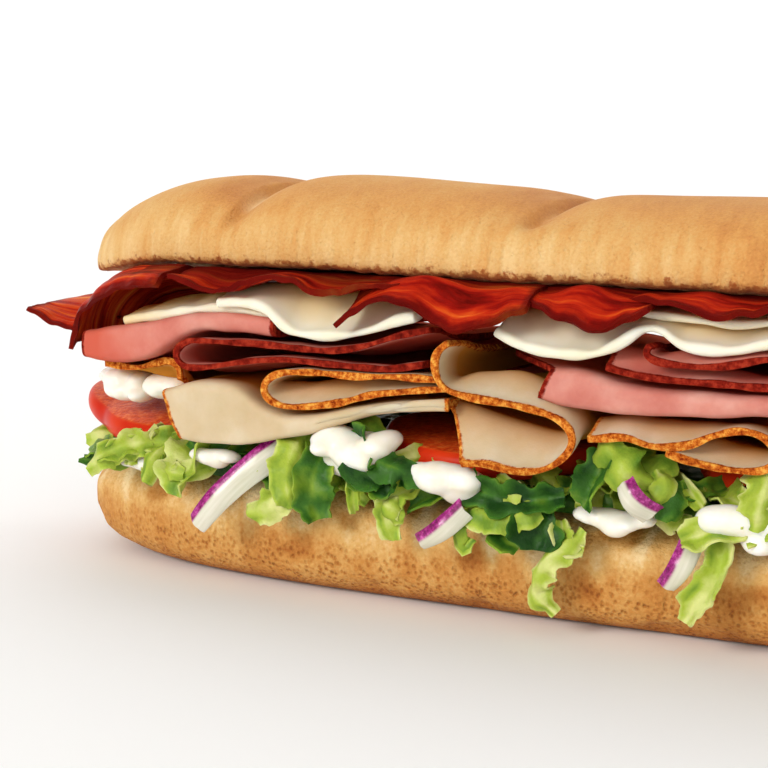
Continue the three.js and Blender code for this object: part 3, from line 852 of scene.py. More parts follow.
def thicken(piece: bpy.types.Object, thick: float, crisp: float = 0.0) -> bpy.types.SolidifyModifier:
    """Gives a sheet its thickness, half to each side, with edges as crisp as asked."""
    solidify = piece.modifiers.new("thickness", "SOLIDIFY")
    solidify.thickness = thick * MM
    solidify.offset = 0.0
    solidify.edge_crease_inner = crisp
    solidify.edge_crease_outer = crisp
    return solidify


def round_off(piece: bpy.types.Object, levels: int) -> None:
    """Rounds a piece off by subdividing it."""
    subdivision = piece.modifiers.new("rounding", "SUBSURF")
    subdivision.levels = levels
    subdivision.render_levels = levels


# Roll

@dataclass(frozen=True)
class RollShape:
    """Sizes of the roll, and the room between its halves that the filling is pressed into."""

    length: float = 280.0
    lid_length: float = 275.6
    width: float = 80.0
    end_bluntness: float = 3.5
    base_height: float = 22.0
    base_waist: float = 12.0
    lid_rim: float = 67.5
    lid_dome: float = 20.3
    lid_dome_wave: float = 1.5
    slashes: tuple[float, ...] = (-89.0, -24.0, 40.0, 97.0)
    slash_lean: float = 0.12
    slash_depth: float = 2.8
    lobe_fall: float = 2.0
    end_droop: float = 2.4
    front: float = -42.0
    back: float = 42.0
    shift: float = 2.5
    wedge_share: float = 0.22

    def plan_half(self, x: float, length: float) -> float:
        """Half width of a half of the roll, of that length, seen from above."""
        along = min(1.0, abs(x) / (length / 2))
        return self.width / 2 * (1 - along ** self.end_bluntness) ** (1 / self.end_bluntness)

    def wedge(self, y: float) -> float:
        """Height left for the filling, as a share of its height at the front."""
        return 1 - self.wedge_share * (y - self.front) / (self.back - self.front)

    def lid_underside(self, x: float, y: float) -> float:
        """Height of the upper half's cut face, which droops at the ends."""
        flat = self.base_height + (self.lid_rim - self.base_height) * self.wedge(y)
        return flat - self.end_droop * smooth((abs(x) - 110) / 24)

    def press(self, x: float, y: float, z: float) -> Vector:
        """Presses a filling point into the wedge and rounds the filling's ends."""
        moved = x + self.shift
        share = self.plan_half(min(abs(moved), 132.0), self.length) / (self.width / 2)
        rounded = y * min(1.0, share + 0.1)
        z = self.base_height + (z - self.base_height) * self.wedge(rounded)
        return Vector((moved, rounded, z))

    def past_slashes(self, x: float, y: float) -> list[float]:
        """How far to the right of each slash a point lies."""
        return [x - mark - self.slash_lean * y for mark in self.slashes]

    def slash_drop(self, x: float, y: float) -> float:
        """How far the slashes lower the crust: sharply on the left, slowly on the right."""
        drop = 0.0
        for d in self.past_slashes(x, y):
            shape = math.exp(-((d / 0.9) ** 2)) if d < 0 else math.exp(-d / 6)
            lobe = math.exp(-((d / (8.0 if d < 0 else 5.0)) ** 2))
            drop = max(drop, self.slash_depth * shape + self.lobe_fall * lobe)
        return drop * smooth((39 - abs(y)) / 9)


class Crumb(NamedTuple):
    """A point of the crust: its place, browning, way from the rim, cut face, pale skin and pits."""

    at: Vector
    toast: float
    rim: float
    cut: float
    pale: float
    pits: float


@dataclass
class Roll:
    """The two halves of the roll: crust with wrinkles, pores, slashes and a ragged cut edge."""

    shape: RollShape
    columns: int = 312
    ring: int = 78
    dome_share: float = 0.78

    def build(self, maker: Maker) -> None:
        """Builds both halves."""
        lid = maker.piece(self._half(Look.BREAD_TOP), "roll_top", Look.BREAD_TOP, "bun_top")
        base = maker.piece(self._half(Look.BREAD_BASE), "roll_base", Look.BREAD_BASE, "bun_bottom")
        for made in (lid, base):
            round_off(made, 1)

    def _half(self, look: Look) -> bmesh.types.BMesh:
        """Wraps a grid round one half of the roll and roughens it along its normals."""
        top = look is Look.BREAD_TOP
        section = self._lid if top else self._base
        half = (self.shape.lid_length if top else self.shape.length) / 2
        bm = bmesh.new()
        bmesh.ops.create_grid(bm, x_segments=self.columns, y_segments=self.ring, size=0.5)
        layers = {key: bm.verts.layers.float.new(key) for key in Crumb._fields[1:]}
        for vert in bm.verts:
            u = 2 * vert.co.x
            x = half * (0.72 * u + 0.28 * math.sin(u * math.pi / 2))
            crumb = section(x, vert.co.y + 0.5)
            vert.co = crumb.at * MM
            for key, layer in layers.items():
                vert[layer] = getattr(crumb, key)
        bmesh.ops.remove_doubles(bm, verts=bm.verts, dist=0.02 * MM)
        bmesh.ops.recalc_face_normals(bm, faces=bm.faces)
        bm.normal_update()
        for vert in bm.verts:
            relief = self._relief(vert.co / MM, vert[layers["rim"]], vert[layers["cut"]], look)
            vert.co += vert.normal * relief * MM
        return bm

    def _relief(self, at: Vector, rim: float, cut: float, look: Look) -> float:
        """How far the crust stands proud of its smooth shape."""
        x, y, z = at
        broad = 0.7 * wobble(x / 24, y / 20, z / 24)
        ragged = 0.75 * wobble(x / 1.7, y / 1.7, z / 1.7) * smooth(1 - rim / 2.6)
        if look is Look.BREAD_TOP:
            side = smooth((15 - rim) / 9) * smooth(rim / 2)
            folds = 0.4 * side * wobble(x / 3.2 + z * 0.05, y / 16, z / 22)
            return broad + ragged + folds
        standing = smooth(z / 2.5)
        dimples = -0.8 * smooth((wobble(x / 8, y / 8, z / 7) - 0.2) / 0.4)
        pebbles = 0.22 * wobble(x / 1.9, y / 1.9, z / 1.9) * smooth((15 - z) / 6)
        return standing * (0.8 * broad + 0.5 * ragged + dimples + pebbles) * (1 - cut)

    def _lid(self, x: float, turn: float) -> Crumb:
        """A point of the upper half, by its place along the roll and round its section."""
        shape = self.shape
        w = shape.plan_half(x, shape.lid_length)
        if turn > self.dome_share:
            y = -w + 2 * w * (turn - self.dome_share) / (1 - self.dome_share)
            inside = smooth((w - abs(y)) / 4)
            return Crumb(Vector((x, y, shape.lid_underside(x, y))), 0.6, 0.0, inside, 0.0, 0.0)
        angle = turn / self.dome_share * math.pi
        y = w * signed_power(math.cos(angle), 0.8)
        fall = (1 - min(1.0, abs(x) / (shape.lid_length / 2)) ** 7) ** 0.4
        tall = (shape.lid_dome - shape.lid_dome_wave * math.cos(math.pi * x / 105)) * fall
        lift = tall * abs(math.sin(angle)) ** 0.8
        dip = shape.slash_drop(x, y) * min(1.0, lift / 9)
        z = shape.lid_underside(x, y) + lift - dip
        crest = smooth((lift - 4) / 15)
        # The crust is darker at the crest and is also made darker towards the right end.
        toast = 0.2 + 0.24 * crest + 0.16 * wobble(x / 34, y / 20, 2.0) + 0.2 * smooth((x + 40) / 60)
        toast += self._slash_browning(x, y) * smooth((lift - 12) / 6)
        return Crumb(Vector((x, y, z)), toast, lift, 0.0, self._slash_skin(x, y), 0.3)

    def _slash_browning(self, x: float, y: float) -> float:
        """The crust browns on the lobe to the left of each slash."""
        return max(0.24 * math.exp(-(((d + 6) / 8) ** 2)) for d in self.shape.past_slashes(x, y))

    def _slash_skin(self, x: float, y: float) -> float:
        """Pale stretched skin shows at the ends of each slash, most of all at the first in front."""
        place = smooth((abs(y) - 18) / 4) * smooth((30 - abs(y)) / 4)
        skin = 0.0
        for i, d in enumerate(self.shape.past_slashes(x, y)):
            plain = 0.85 if i == 0 and y < 0 else 0.22
            skin = max(skin, plain * place * math.exp(-(((d - 2.6) / 2.6) ** 2)))
        return skin

    def _base(self, x: float, turn: float) -> Crumb:
        """A point of the lower half, by its place along the roll and round its section."""
        shape = self.shape
        swell = (1 - min(1.0, abs(x) / (shape.length / 2)) ** 9) ** 0.42
        angle = turn * math.pi * 2
        y = shape.plan_half(x, shape.length) * signed_power(math.cos(angle), 0.62)
        rise = signed_power(math.sin(angle), 0.62)
        above = shape.base_height - shape.base_waist + 2
        below = shape.base_waist + 2.6
        raw = shape.base_waist + rise * (above if rise > 0 else below) * swell
        z = min(shape.base_height, max(0.0, raw))
        inside = smooth(raw - shape.base_height)
        spots = smooth((wobble(x / 8, y / 8, z / 7) - 0.16) / 0.3) * smooth((z - 4) / 5)
        # Paler towards the cut: partly the crust's own paler top and partly painted light where the lettuce
        # shades it. Browner low down, where it baked on the tray, and at dark spots.
        toast = 0.45 - 0.24 * smooth((z - 11) / 6) + 0.34 * smooth((4 - z) / 4) + 0.3 * spots
        toast -= 0.24 * smooth(wobble(x / 5, 4.0, z / 18) / 0.4) * smooth((z - 8) / 6)
        rim = 12.0 - 9.0 * smooth((z - 19.5) / 2.5)
        return Crumb(Vector((x, y, z)), toast, rim, inside, 0.0, 0.25 + 0.75 * smooth((15 - z) / 8))


# Slices

class Lie(Enum):
    """How a rasher lies where it isn't pressed flat under the roll."""

    TILTED = "climbs all the way in"
    HANGING = "keeps low where it hangs over the left end"


@dataclass
class Slices:
    """Slices that run through the filling: leaves seen edge on, folds and drapes.

    Each shape is given by rows of numbers along the roll, and the unseen right half is
    filled with the shapes of the left half, moved along by repeat.
    """

    shape: RollShape
    maker: Maker
    repeat: float = 140.0
    columns: int = 84
    deep: int = 24
    rounds: int = 52
    dense: float = 16.0
    sag: float = 2.2
    crisp: float = 0.6

    def moved(self, rows: Rows) -> list[list[float]]:
        """Rows moved along to the right half."""
        return [[r[0] + self.repeat, *r[1:]] for r in rows]

    def depth(self, share: float, front: float, back: float) -> float:
        """Depth at a share of the steps across, which are close together at both edges."""
        marks = (front, front + self.dense, back - self.dense, back)
        return float(np.interp(share, (0.0, 0.45, 0.55, 1.0), marks))

    def leaf(
        self, node: str, look: Look, thick: float, front: float, back: float, rows: Rows, flare: float = 0.0
    ) -> None:
        """A slice seen edge on: its front edge follows rows of [x, z, lift], its last end flares."""
        path = through(rows, self.columns)
        run = way_along(path[:, :2])
        seed = hash_of(node)

        def place(u: float, v: float) -> Spot:
            i = round(u * self.columns)
            x, z, lift = path[i]
            y = self.depth(v, front, back)
            inside = min(y - front, back - y)
            wander = 1.1 * wobble(run[i] / 13, seed, 0.0) * smooth(1 - inside / 12)
            sunk = self.sag * smooth((inside - 5) / 16)
            level = z + lift * smooth(inside / 9) - sunk + 0.3 * wobble(run[i] / 9, y / 12, seed)
            rim = min(run[i], run[-1] - run[i], inside)
            wider = flare * smooth((y - front) / 16) * smooth((u - 0.7) / 0.3)
            return Spot(self.shape.press(x - wider, y + wander, level), run[i], y - front, rim)

        steps = (self.columns, self.deep)
        self.maker.sheet(f"{node}_slice", look, node, steps, place, thick, self.crisp)

    def fold(
        self, node: str, look: Look, thick: float, front: float, back: float, rows: Rows,
        rise: float, lean: float, trail: float = 0.0,
    ) -> None:
        """A slice folded over at the front: rows of [x, low, high] give the fold's height."""
        columns = self.columns // 2
        path = through(rows, columns)
        run = way_along(path[:, :1])
        seed = hash_of(node)
        sections = [self._fold_section(thick, front, back, low, high, rise) for _, low, high in path]

        def place(u: float, v: float) -> Spot:
            i = round(u * columns)
            x, low, high = path[i]
            y, z, across = sections[i][round(v * self.rounds)]
            slant = lean * (z - (low + high) / 2) * (1 - u) ** 3
            deep = smooth((y - front) / 20) * (1 - u) ** 2
            dent = 0.5 * wobble(x / 9, z / 6, seed) * smooth(1 - (y - front) / 14)
            ragged = 0.8 * wobble(z / 4, seed, 1.0) * (1 - u) ** 6
            rim = min(run[i], run[-1] - run[i], back - y)
            at = self.shape.press(x + slant - trail * deep + ragged, y + dent, z + 0.14 * trail * deep)
            return Spot(at, run[i], across, rim)

        self.maker.sheet(f"{node}_slice", look, node, (columns, self.rounds), place, thick, self.crisp)

    def _fold_section(
        self, thick: float, front: float, back: float, low: float, high: float, rise: float
    ) -> np.ndarray:
        """Middle line of a fold's section, as rows of depth, height and way across."""
        tall = high - low
        half = thick / 2
        lifted = low + min(max(tall - 2 * thick - 0.7, 0.0), rise)
        outline = [
            (back, high - half), (front + 14, high - half), (front + 1.9, high - half),
            (front + half + 0.1, high - half - 1.3), (front + half, (low + high) / 2),
            (front + half + 0.1, low + half + 1.3), (front + 1.9, low + half), (front + 13, lifted + half),
            (back, lifted + half),
        ]
        fine = through(outline, 400)
        way = way_along(fine[:, :2])
        near = np.exp(-np.maximum(0, fine[:, 0] - front - 8) / 9) + 0.06
        weight = np.concatenate([[0], np.cumsum(near[1:])])
        picked = np.interp(np.linspace(0, weight[-1], self.rounds + 1), weight, np.arange(len(fine)))
        at = np.arange(len(fine))
        return np.stack([np.interp(picked, at, k) for k in (fine[:, 0], fine[:, 1], way)], axis=1)

    def drape(self, node: str, look: Look, thick: float, front: float, back: float, rows: Rows) -> None:
        """A slab that droops at its front: rows of [x, front z, inner z] give its lower face."""
        path = through(rows, self.columns)
        run = way_along(path[:, :2])
        seed = hash_of(node)

        def place(u: float, v: float) -> Spot:
            i = round(u * self.columns)
            x, low, inner = path[i]
            y = self.depth(v, front, back)
            inside = min(y - front, back - y)
            level = low + (inner - low) * smooth((y - front) / 12) + thick / 2
            wander = 0.9 * wobble(run[i] / 16, seed, 0.0) * smooth(1 - inside / 12)
            level -= self.sag * smooth((inside - 14) / 14)
            rim = min(run[i], run[-1] - run[i], inside)
            at = self.shape.press(x, y + wander, level + 0.25 * wobble(x / 10, y / 10, seed))
            return Spot(at, run[i], y - front, rim)

        self.maker.sheet(f"{node}_slice", look, node, (self.columns, self.deep), place, thick)


@dataclass
class Turkey(Slices):
    """Roast turkey: curls, a front fold, a teardrop loop and an S-shaped scroll."""

    thick: float = 1.6

    def build(self) -> None:
        """Builds the eight slices."""
        panel = [
            (-104, 31.2, 41.6), (-96, 31, 43.9), (-88, 31.5, 43.7), (-83, 32.2, 40.4), (-77, 33.5, 38.6),
            (-71, 35.2, 39.2), (-65, 37.4, 40.8), (-57, 39.9, 42.6), (-48, 41.6, 43.6), (-42, 42.4, 44),
        ]
        teardrop = [
            (-43.4, 48.2), (-62, 47.6), (-74, 47.4), (-79, 46.4), (-81.3, 44, 1), (-80.3, 41.5, 2.6),
            (-76.5, 40.3, 4), (-71.5, 40.6, 4.4), (-65, 42, 4), (-57, 44.2, 2.4), (-48, 45.8, 1), (-42, 46.4),
        ]
        scroll = [
            (-41, 55.4, 0), (-43.4, 53, 0), (-43.8, 49.6, 0), (-42, 46.6, 1.6), (-37, 45.2, 4),
            (-29, 44.6, 5), (-22.5, 43.6, 4), (-17.8, 41.6, 2), (-16.3, 38.7, 2.4), (-17.8, 35.5, 4),
            (-21.5, 33, 6), (-27, 32.3, 8), (-33, 33, 9.5), (-38.5, 32.5, 11),
        ]
        curl = [
            (-14, 39.3, 3), (-7, 40, 3.4), (-1.5, 38.8, 4), (5, 39.6, 3), (10, 41.9, 1), (15, 43.2, 0),
            (19.3, 42.2, -0.4), (21.2, 39.2, 0.4), (19, 36.4, 2), (13, 35.7, 3.4), (7, 36.5, 4), (1, 38, 4),
        ]
        end = [
            (-127, 44.4, 1), (-118, 44.6, -1), (-111.5, 46.2, -4), (-107.5, 47, -5), (-105, 45.6, -5),
            (-104.6, 43, -3.5),
        ]
        look = Look.TURKEY
        self.leaf("turkey_1", look, self.thick, -40, 36, end)
        self.fold("turkey_2", look, self.thick, -45, 38, panel, rise=6.4, lean=-0.5)
        self.leaf("turkey_3", look, self.thick, -45.5, 40, teardrop)
        self.leaf("turkey_4", look, self.thick, -47, 42, scroll, flare=11.0)
        self.leaf("turkey_5", look, self.thick, -45.5, 41, curl)
        self.fold("turkey_6", look, self.thick, -44, 40, self.moved(panel), rise=6.4, lean=0.3)
        self.leaf("turkey_7", look, self.thick, -45, 42, self.moved(teardrop))
        self.leaf("turkey_8", look, self.thick, -46, 40, self.moved(scroll), flare=11.0)


@dataclass
class Ham(Slices):
    """Smoked ham: front bands, a flat loop and a rolled curl."""

    thick: float = 1.5

    def build(self) -> None:
        """Builds the seven slices."""
        band = [
            (-132.5, 45.2, 51.8), (-119, 45.6, 53.8), (-110, 47.6, 55.4), (-104, 51, 56.6), (-97, 53.9, 57.9),
            (-88, 53.9, 58.2), (-80, 53.7, 57.5),
        ]
        loop = [
            (-46, 57.2), (-52, 55.9), (-59, 53.7), (-67, 52.2), (-77, 52.1), (-87, 52.2), (-95, 52.3),
            (-100, 51.6), (-102.6, 49.2), (-101.2, 46.9), (-97.5, 46.5), (-91, 47.6), (-84, 48.8),
            (-76, 49.6), (-66, 49.3), (-56, 49.2), (-47, 50.6),
        ]
        front = [
            (-22.5, 45.7, 51.8), (-16.5, 44.5, 51.7), (-6.5, 44, 49.7), (5, 44.4, 49.3), (16, 45.3, 49.4),
            (25, 45.6, 49.6), (33, 45.6, 49.6),
        ]
        curl = [
            (-2.6, 57.3), (-3.3, 55.7), (-0.8, 54.2, 1), (5, 53.7, 3), (12, 54.4, 3), (19, 56, 2),
            (27, 56.5), (32, 55.3), (33.2, 53.4), (30, 51.7), (20, 51.1, 1), (5, 51.1, 2.4),
            (-5, 51.4, 4), (-11, 52.4, 4),
        ]
        end = [(-22.5, 45.7, 51.8), (-16.5, 44.5, 51.7), (-6.5, 44.2, 49.9), (-3, 44.4, 49.6)]
        look = Look.HAM
        self.fold("ham_1", look, self.thick, -44, 37, band, rise=0.0, lean=0.1)
        self.leaf("ham_2", look, self.thick, -44.5, 40, loop)
        self.fold("ham_3", look, self.thick, -45.5, 41, front, rise=0.0, lean=0.5, trail=14.0)
        self.leaf("ham_4", look, self.thick, -44.5, 41, curl)
        self.fold("ham_5", look, self.thick, -43.5, 38, self.moved(band[3:]), rise=0.0, lean=0.2)
        self.leaf("ham_6", look, self.thick, -45, 41, self.moved(loop))
        self.fold("ham_7", look, self.thick, -45, 40, self.moved(end), rise=0.0, lean=0.4, trail=14.0)


@dataclass
class Cheese(Slices):
    """White cheese: soft slabs that droop over the meat."""

    thick: float = 2.4
    thin: float = 1.8

    def build(self) -> None:
        """Builds the six slabs."""
        left = [
            (-119, 53.3, 55.4), (-110, 54.9, 57.6), (-103, 56.1, 59.2), (-97, 57.2, 60.2), (-90, 57.4, 60.2),
            (-82, 56.6, 60),
        ]
        drape = [
            (-93, 58.6, 62), (-88, 59, 62.4), (-82, 58.2, 62.4), (-76.5, 54.2, 62.2), (-70, 53.4, 62),
            (-64, 54, 61.8), (-58, 55.4, 61.6), (-53, 57.3, 61.4), (-49, 58.4, 61.4),
        ]
        front = [
            (-33, 56.6, 60.6), (-28, 54.3, 60.8), (-21, 53.2, 60.8), (-14, 53.4, 60.8), (-9, 55.5, 61),
            (-4.5, 58.6, 61.2), (-1, 58.7, 61.2), (3, 56.2, 60.6), (8, 55.6, 60.2), (13, 56, 60.2),
            (19, 57.5, 60.4), (27, 58, 60.4), (35, 57.8, 60.2),
        ]
        over = [(-6, 61.8, 63), (6, 61, 63), (13, 60.8, 63), (21, 61.6, 63), (34, 61.8, 63)]
        look = Look.CHEESE
        self.drape("cheese_1", look, self.thick, -42, 36, left)
        self.drape("cheese_2", look, self.thick, -44.5, 38, drape)
        self.drape("cheese_3", look, self.thick, -44.5, 40, front)
        self.drape("cheese_4", look, self.thin, -41.5, 37, over)
        self.drape("cheese_5", look, self.thick, -44, 40, self.moved(drape))
        self.drape("cheese_6", look, self.thick, -44, 38, self.moved(front[:7]))


@dataclass
class Bacon(Slices):
    """Fried rashers: wavy strips under the upper half, one sticking out at the left end."""

    thick: float = 1.3
    under_lid: float = 66.7
    across: int = 36
    back_across: int = 18
    back_columns: int = 56

    def build(self) -> None:
        """Builds the nine rashers in front and the four behind."""
        tip = [(-158, 54.6, 56), (-152, 51.4, 57.6), (-146, 50, 59.2), (-140, 50.8, 60.4), (-133, 53.6, 61.2)]
        arch = [
            (-135.4, 47, 48.6), (-134.2, 51.5, 53.4), (-130, 55.4, 57.4), (-124, 58.6, 61),
            (-117, 61.2, 63.4), (-110.5, 62.6, 64.6), (-104.9, 63, 65),
        ]
        wave = [
            (-103.6, 64.6, 64.9), (-99.5, 64.4, 64.6), (-95.5, 62.5, 63), (-92.5, 62.2, 62.6),
            (-89, 63, 63.2), (-84, 64.9, 65), (-79, 65.8, 66), (-75, 65.2, 65.4), (-71.5, 63.9, 64.2),
            (-68, 63.3, 63.7), (-65, 63.6, 64), (-62, 64.4, 64.6), (-57, 65, 65.2), (-52, 65.2, 65.4),
        ]
        ribbon = [
            (-64.5, 56.8, 59.6), (-60, 60.2, 63), (-55.5, 62.6, 65.8), (-51, 62.4, 66.8), (-47, 60.6, 67),
            (-43, 58.2, 66.2), (-38.5, 57.6, 64.9), (-34.5, 58.6, 64.8), (-30, 60.8, 65.6),
            (-25.2, 62.6, 65.4),
        ]
        cup = [
            (-32, 64.4, 65.4), (-28, 64, 65.2), (-23.4, 62.8, 64.6), (-18.5, 60.9, 66.2),
            (-14.5, 59.8, 66.6), (-10.5, 59.8, 65), (-6.5, 61.4, 64.4), (-2.2, 63.8, 64.8),
        ]
        right = [
            (-9, 65, 65.8), (-4.5, 65.2, 66), (0, 65.2, 66), (3.5, 64.9, 66.6), (7, 63.4, 66.6),
            (10.5, 62.9, 65.6), (15, 63.6, 65), (20, 64.8, 65.6), (26, 65.4, 66.2), (33, 64.2, 65.4),
        ]
        self.rasher("bacon_1", -25, 0, tip, lie=Lie.TILTED)
        self.rasher("bacon_2", -46.6, 2, arch, crest_in=2.0, lie=Lie.HANGING, sink=8.1)
        self.rasher("bacon_3", -45.5, 6, wave)
        self.rasher("bacon_4", -48, 6, ribbon, shift=6.0)
        self.rasher("bacon_5", -47.5, 6, cup, tuck=5.0)
        self.rasher("bacon_6", -46.5, 6, right, tuck=5.0)
        self.rasher("bacon_7", -46, 6, self.moved(wave))
        self.rasher("bacon_8", -47, 6, self.moved(ribbon), shift=6.0)
        self.rasher("bacon_9", -46, 6, self.moved(cup), tuck=5.0)
        for i, (start, end) in enumerate(((-126, -66), (-60, 0), (6, 62), (68, 124))):
            self.rasher(f"bacon_{10 + i}", -45, -6.5, self._waving(start, end), facing=-1)

    def rasher(
        self, node: str, front: float, inner: float, rows: Rows, shift: float = 0.0, crest_in: float = 4.8,
        lie: Lie | None = None, facing: int = 1, tuck: float = 0.0, sink: float = 3.1,
    ) -> None:
        """A wavy rasher: rows of [x, front edge z, crest z], pressed flat under the roll behind.

        Args:
            node: the solid that it stands for.
            front: depth of its front edge.
            inner: depth of its inner edge.
            rows: its heights along the roll.
            shift: how far its left end is cut aslant.
            crest_in: how far behind the edge the crest lies.
            lie: how it lies, if it isn't pressed flat.
            facing: 1 for the front, -1 for the back.
            tuck: how far its left end is pushed in behind the rasher before it.
            sink: how far its inner edge sinks into the filling.
        """
        across = self.across if facing > 0 else self.back_across
        columns = self.columns if facing > 0 else self.back_columns
        path = through(rows, columns)
        run = way_along(path[:, :2])
        seed = hash_of(node)
        depths = (front, front + crest_in, front + 12, inner)

        def place(u: float, v: float) -> Spot:
            i = round(u * columns)
            x, edge, crest = path[i]
            share = (v * v + v) / 2
            y = front + (inner - front) * share
            under = self.under_lid
            if lie is Lie.HANGING:
                under = crest + 1 + (self.under_lid - crest - 1) * smooth(u)
            level = float(np.interp(y, depths, (edge, crest, under, under - sink)))
            if lie is Lie.TILTED:
                level = edge + (crest - edge) * share
            inside = min(y - front, inner - y)
            crimp = 0.6 * wobble(run[i] / 3.0, v * 2, seed) * smooth(1 - (y - front) / 8)
            wander = wobble(run[i] / 5, seed, 0.0) * smooth(1 - inside / 8)
            wander += tuck * smooth(1 - run[i] / 11)
            ridges = 0.42 * wobble(run[i] / 20, y / 2.2, seed) + 0.2 * wobble(run[i] / 12, y / 0.9, seed)
            ridges *= smooth((front + 14 - y) / 6)
            rim = min(run[i], run[-1] - run[i], inside)
            at = self.shape.press(x + shift * v * (1 - u), facing * (y + wander), level + crimp + ridges)
            return Spot(at, run[i], y - front, rim)

        steps = (columns, across)
        self.maker.sheet(f"{node}_rasher", Look.BACON, node, steps, place, self.thick, self.crisp)

    def _waving(self, start: int, end: int) -> list[Point]:
        """Rows of a rasher of the back row."""
        places = range(start, end + 1, 4)
        return [(x, 64.4 + 0.9 * math.sin(x * 0.36), 65.5 + 0.4 * math.sin(x * 0.36 + 0.8)) for x in places]


# Salad

@dataclass
class Tomatoes:
    """Tomato slices that lie flat, with a rounded skin."""

    shape: RollShape
    maker: Maker
    thick: float = 5.0
    turns: int = 96
    layout: tuple[tuple[float, float, float, float, float], ...] = (
        (-119, -8, 31.4, 28, 5.5), (-40.5, -15, 30.4, 26, 2.4),
        (26.5, -13, 30.4, 27, 1.8), (105, -8, 28.6, 27, 0.6),
    )

    def build(self) -> None:
        """Builds each slice at its place, [x, y, low, radius, droop at the front]."""
        for i, (x, y, low, radius, droop) in enumerate(self.layout, 1):
            bm = bmesh.new()
            self._lathe(bm, radius)
            rim = bm.verts.layers.float.new("rim")
            for vert in bm.verts:
                side, out, up = vert.co
                reach = math.hypot(side, out)
                angle = math.atan2(out, side)
                uneven = 1 + 0.012 * math.sin(3 * angle + i) + 0.006 * math.sin(7 * angle + 2 * i)
                vert[rim] = radius - 0.35 - reach if 0.2 < up < self.thick - 0.2 else radius - 0.6 - reach
                pulp = 0.35 * wobble(side / 4, out / 4, i) * smooth((radius - 2 - reach) / 3)
                sunk = droop * (max(0.0, -out) / radius) ** 1.5
                at = self.shape.press(x + side * uneven, y + out * uneven, low + up + pulp - sunk)
                vert.co = at * MM
            made = self.maker.piece(bm, f"tomato_{i}_slice", Look.TOMATO, f"tomato_{i}")
            round_off(made, 1)

    def _lathe(self, bm: bmesh.types.BMesh, radius: float) -> None:
        """Spins the slice's section round its middle."""
        h = self.thick
        angles = np.linspace(0, math.pi, 13)
        bow = [(radius - 1.5 + 1.5 * math.sin(a), h / 2 - h / 2 * math.cos(a)) for a in angles]
        flat = [radius * s for s in (0.0, 0.25, 0.5, 0.7, 0.85)]
        section = [(r, 0.0) for r in flat] + bow + [(r, h) for r in reversed(flat)]
        verts = [bm.verts.new((r, 0.0, z)) for r, z in section]
        edges = [bm.edges.new(pair) for pair in zip(verts, verts[1:])]
        bmesh.ops.spin(
            bm, geom=verts + edges, cent=(0, 0, 0), axis=(0, 0, 1), angle=math.tau, steps=self.turns,
            use_merge=True,
        )
        bmesh.ops.remove_doubles(bm, verts=bm.verts, dist=1e-4)
        bmesh.ops.recalc_face_normals(bm, faces=bm.faces)


@dataclass
class Onions:
    """Strips of red onion that hang out of the salad, purple along their skin."""

    shape: RollShape
    maker: Maker
    thick: float = 1.7
    columns: int = 40
    across: int = 12
    layout: tuple[tuple[Point, Point, float, float], ...] = (
        ((-79.5, -39.5, 31.4), (-96.5, -44.8, 15), -0.8, 5.9),
        ((-37.5, -45.8, 24), (-46.5, -45.4, 17), 0.6, 4.0), ((-0.4, -47, 27), (-5.2, -46.4, 32.4), 0.4, 4.6),
        ((6.5, -43.5, 23), (2.2, -45, 14), 0.8, 4.2), ((55, -41, 28.5), (46, -44.5, 15), 1.4, 5.6),
        ((88, -44, 25), (96, -45, 15), -1.0, 4.4), ((116, -41, 26.5), (110, -43.5, 16), 1.0, 5.0),
    )

    def build(self) -> None:
        """Builds each strip from its top, tip, bow and width."""
        for i, (top, tip, bow, width) in enumerate(self.layout, 1):
            self._strip(f"onion_{i}", Vector(top), Vector(tip), bow, width)

    def _strip(self, node: str, top: Vector, tip: Vector, bow: float, width: float) -> None:
        """One strip: its skin is the side that its bow goes to."""
        run = (tip - top).normalized()
        side = Vector((-run.z, 0, run.x)).normalized()
        length = (tip - top).length
        skin = -1.0 if run.x < 0 else 1.0
        seed = hash_of(node)

        def place(u: float, v: float) -> Spot:
            at = top.lerp(tip, u)
            arc = math.sin(math.pi * u)
            wide = width * (1.05 - 0.35 * u)
            cut = 0.5 * wobble(v * 3, seed, 0.0) * (1.0 if u > 0.5 else -1.0)
            at += run * (cut * abs(2 * u - 1) ** 8) + side * (bow * arc + (v - 0.5) * wide)
            at.y -= 2.5 * math.sin(math.pi * u * 0.8) + 0.8 * (1 - (2 * v - 1) ** 2)
            inward = (1 - v if skin > 0 else v) * wide
            return Spot(self.shape.press(*at), u * length, v * wide, inward)

        steps = (self.columns, self.across)
        self.maker.sheet(f"{node}_strip", Look.ONION, node, steps, place, self.thick, 0.4)


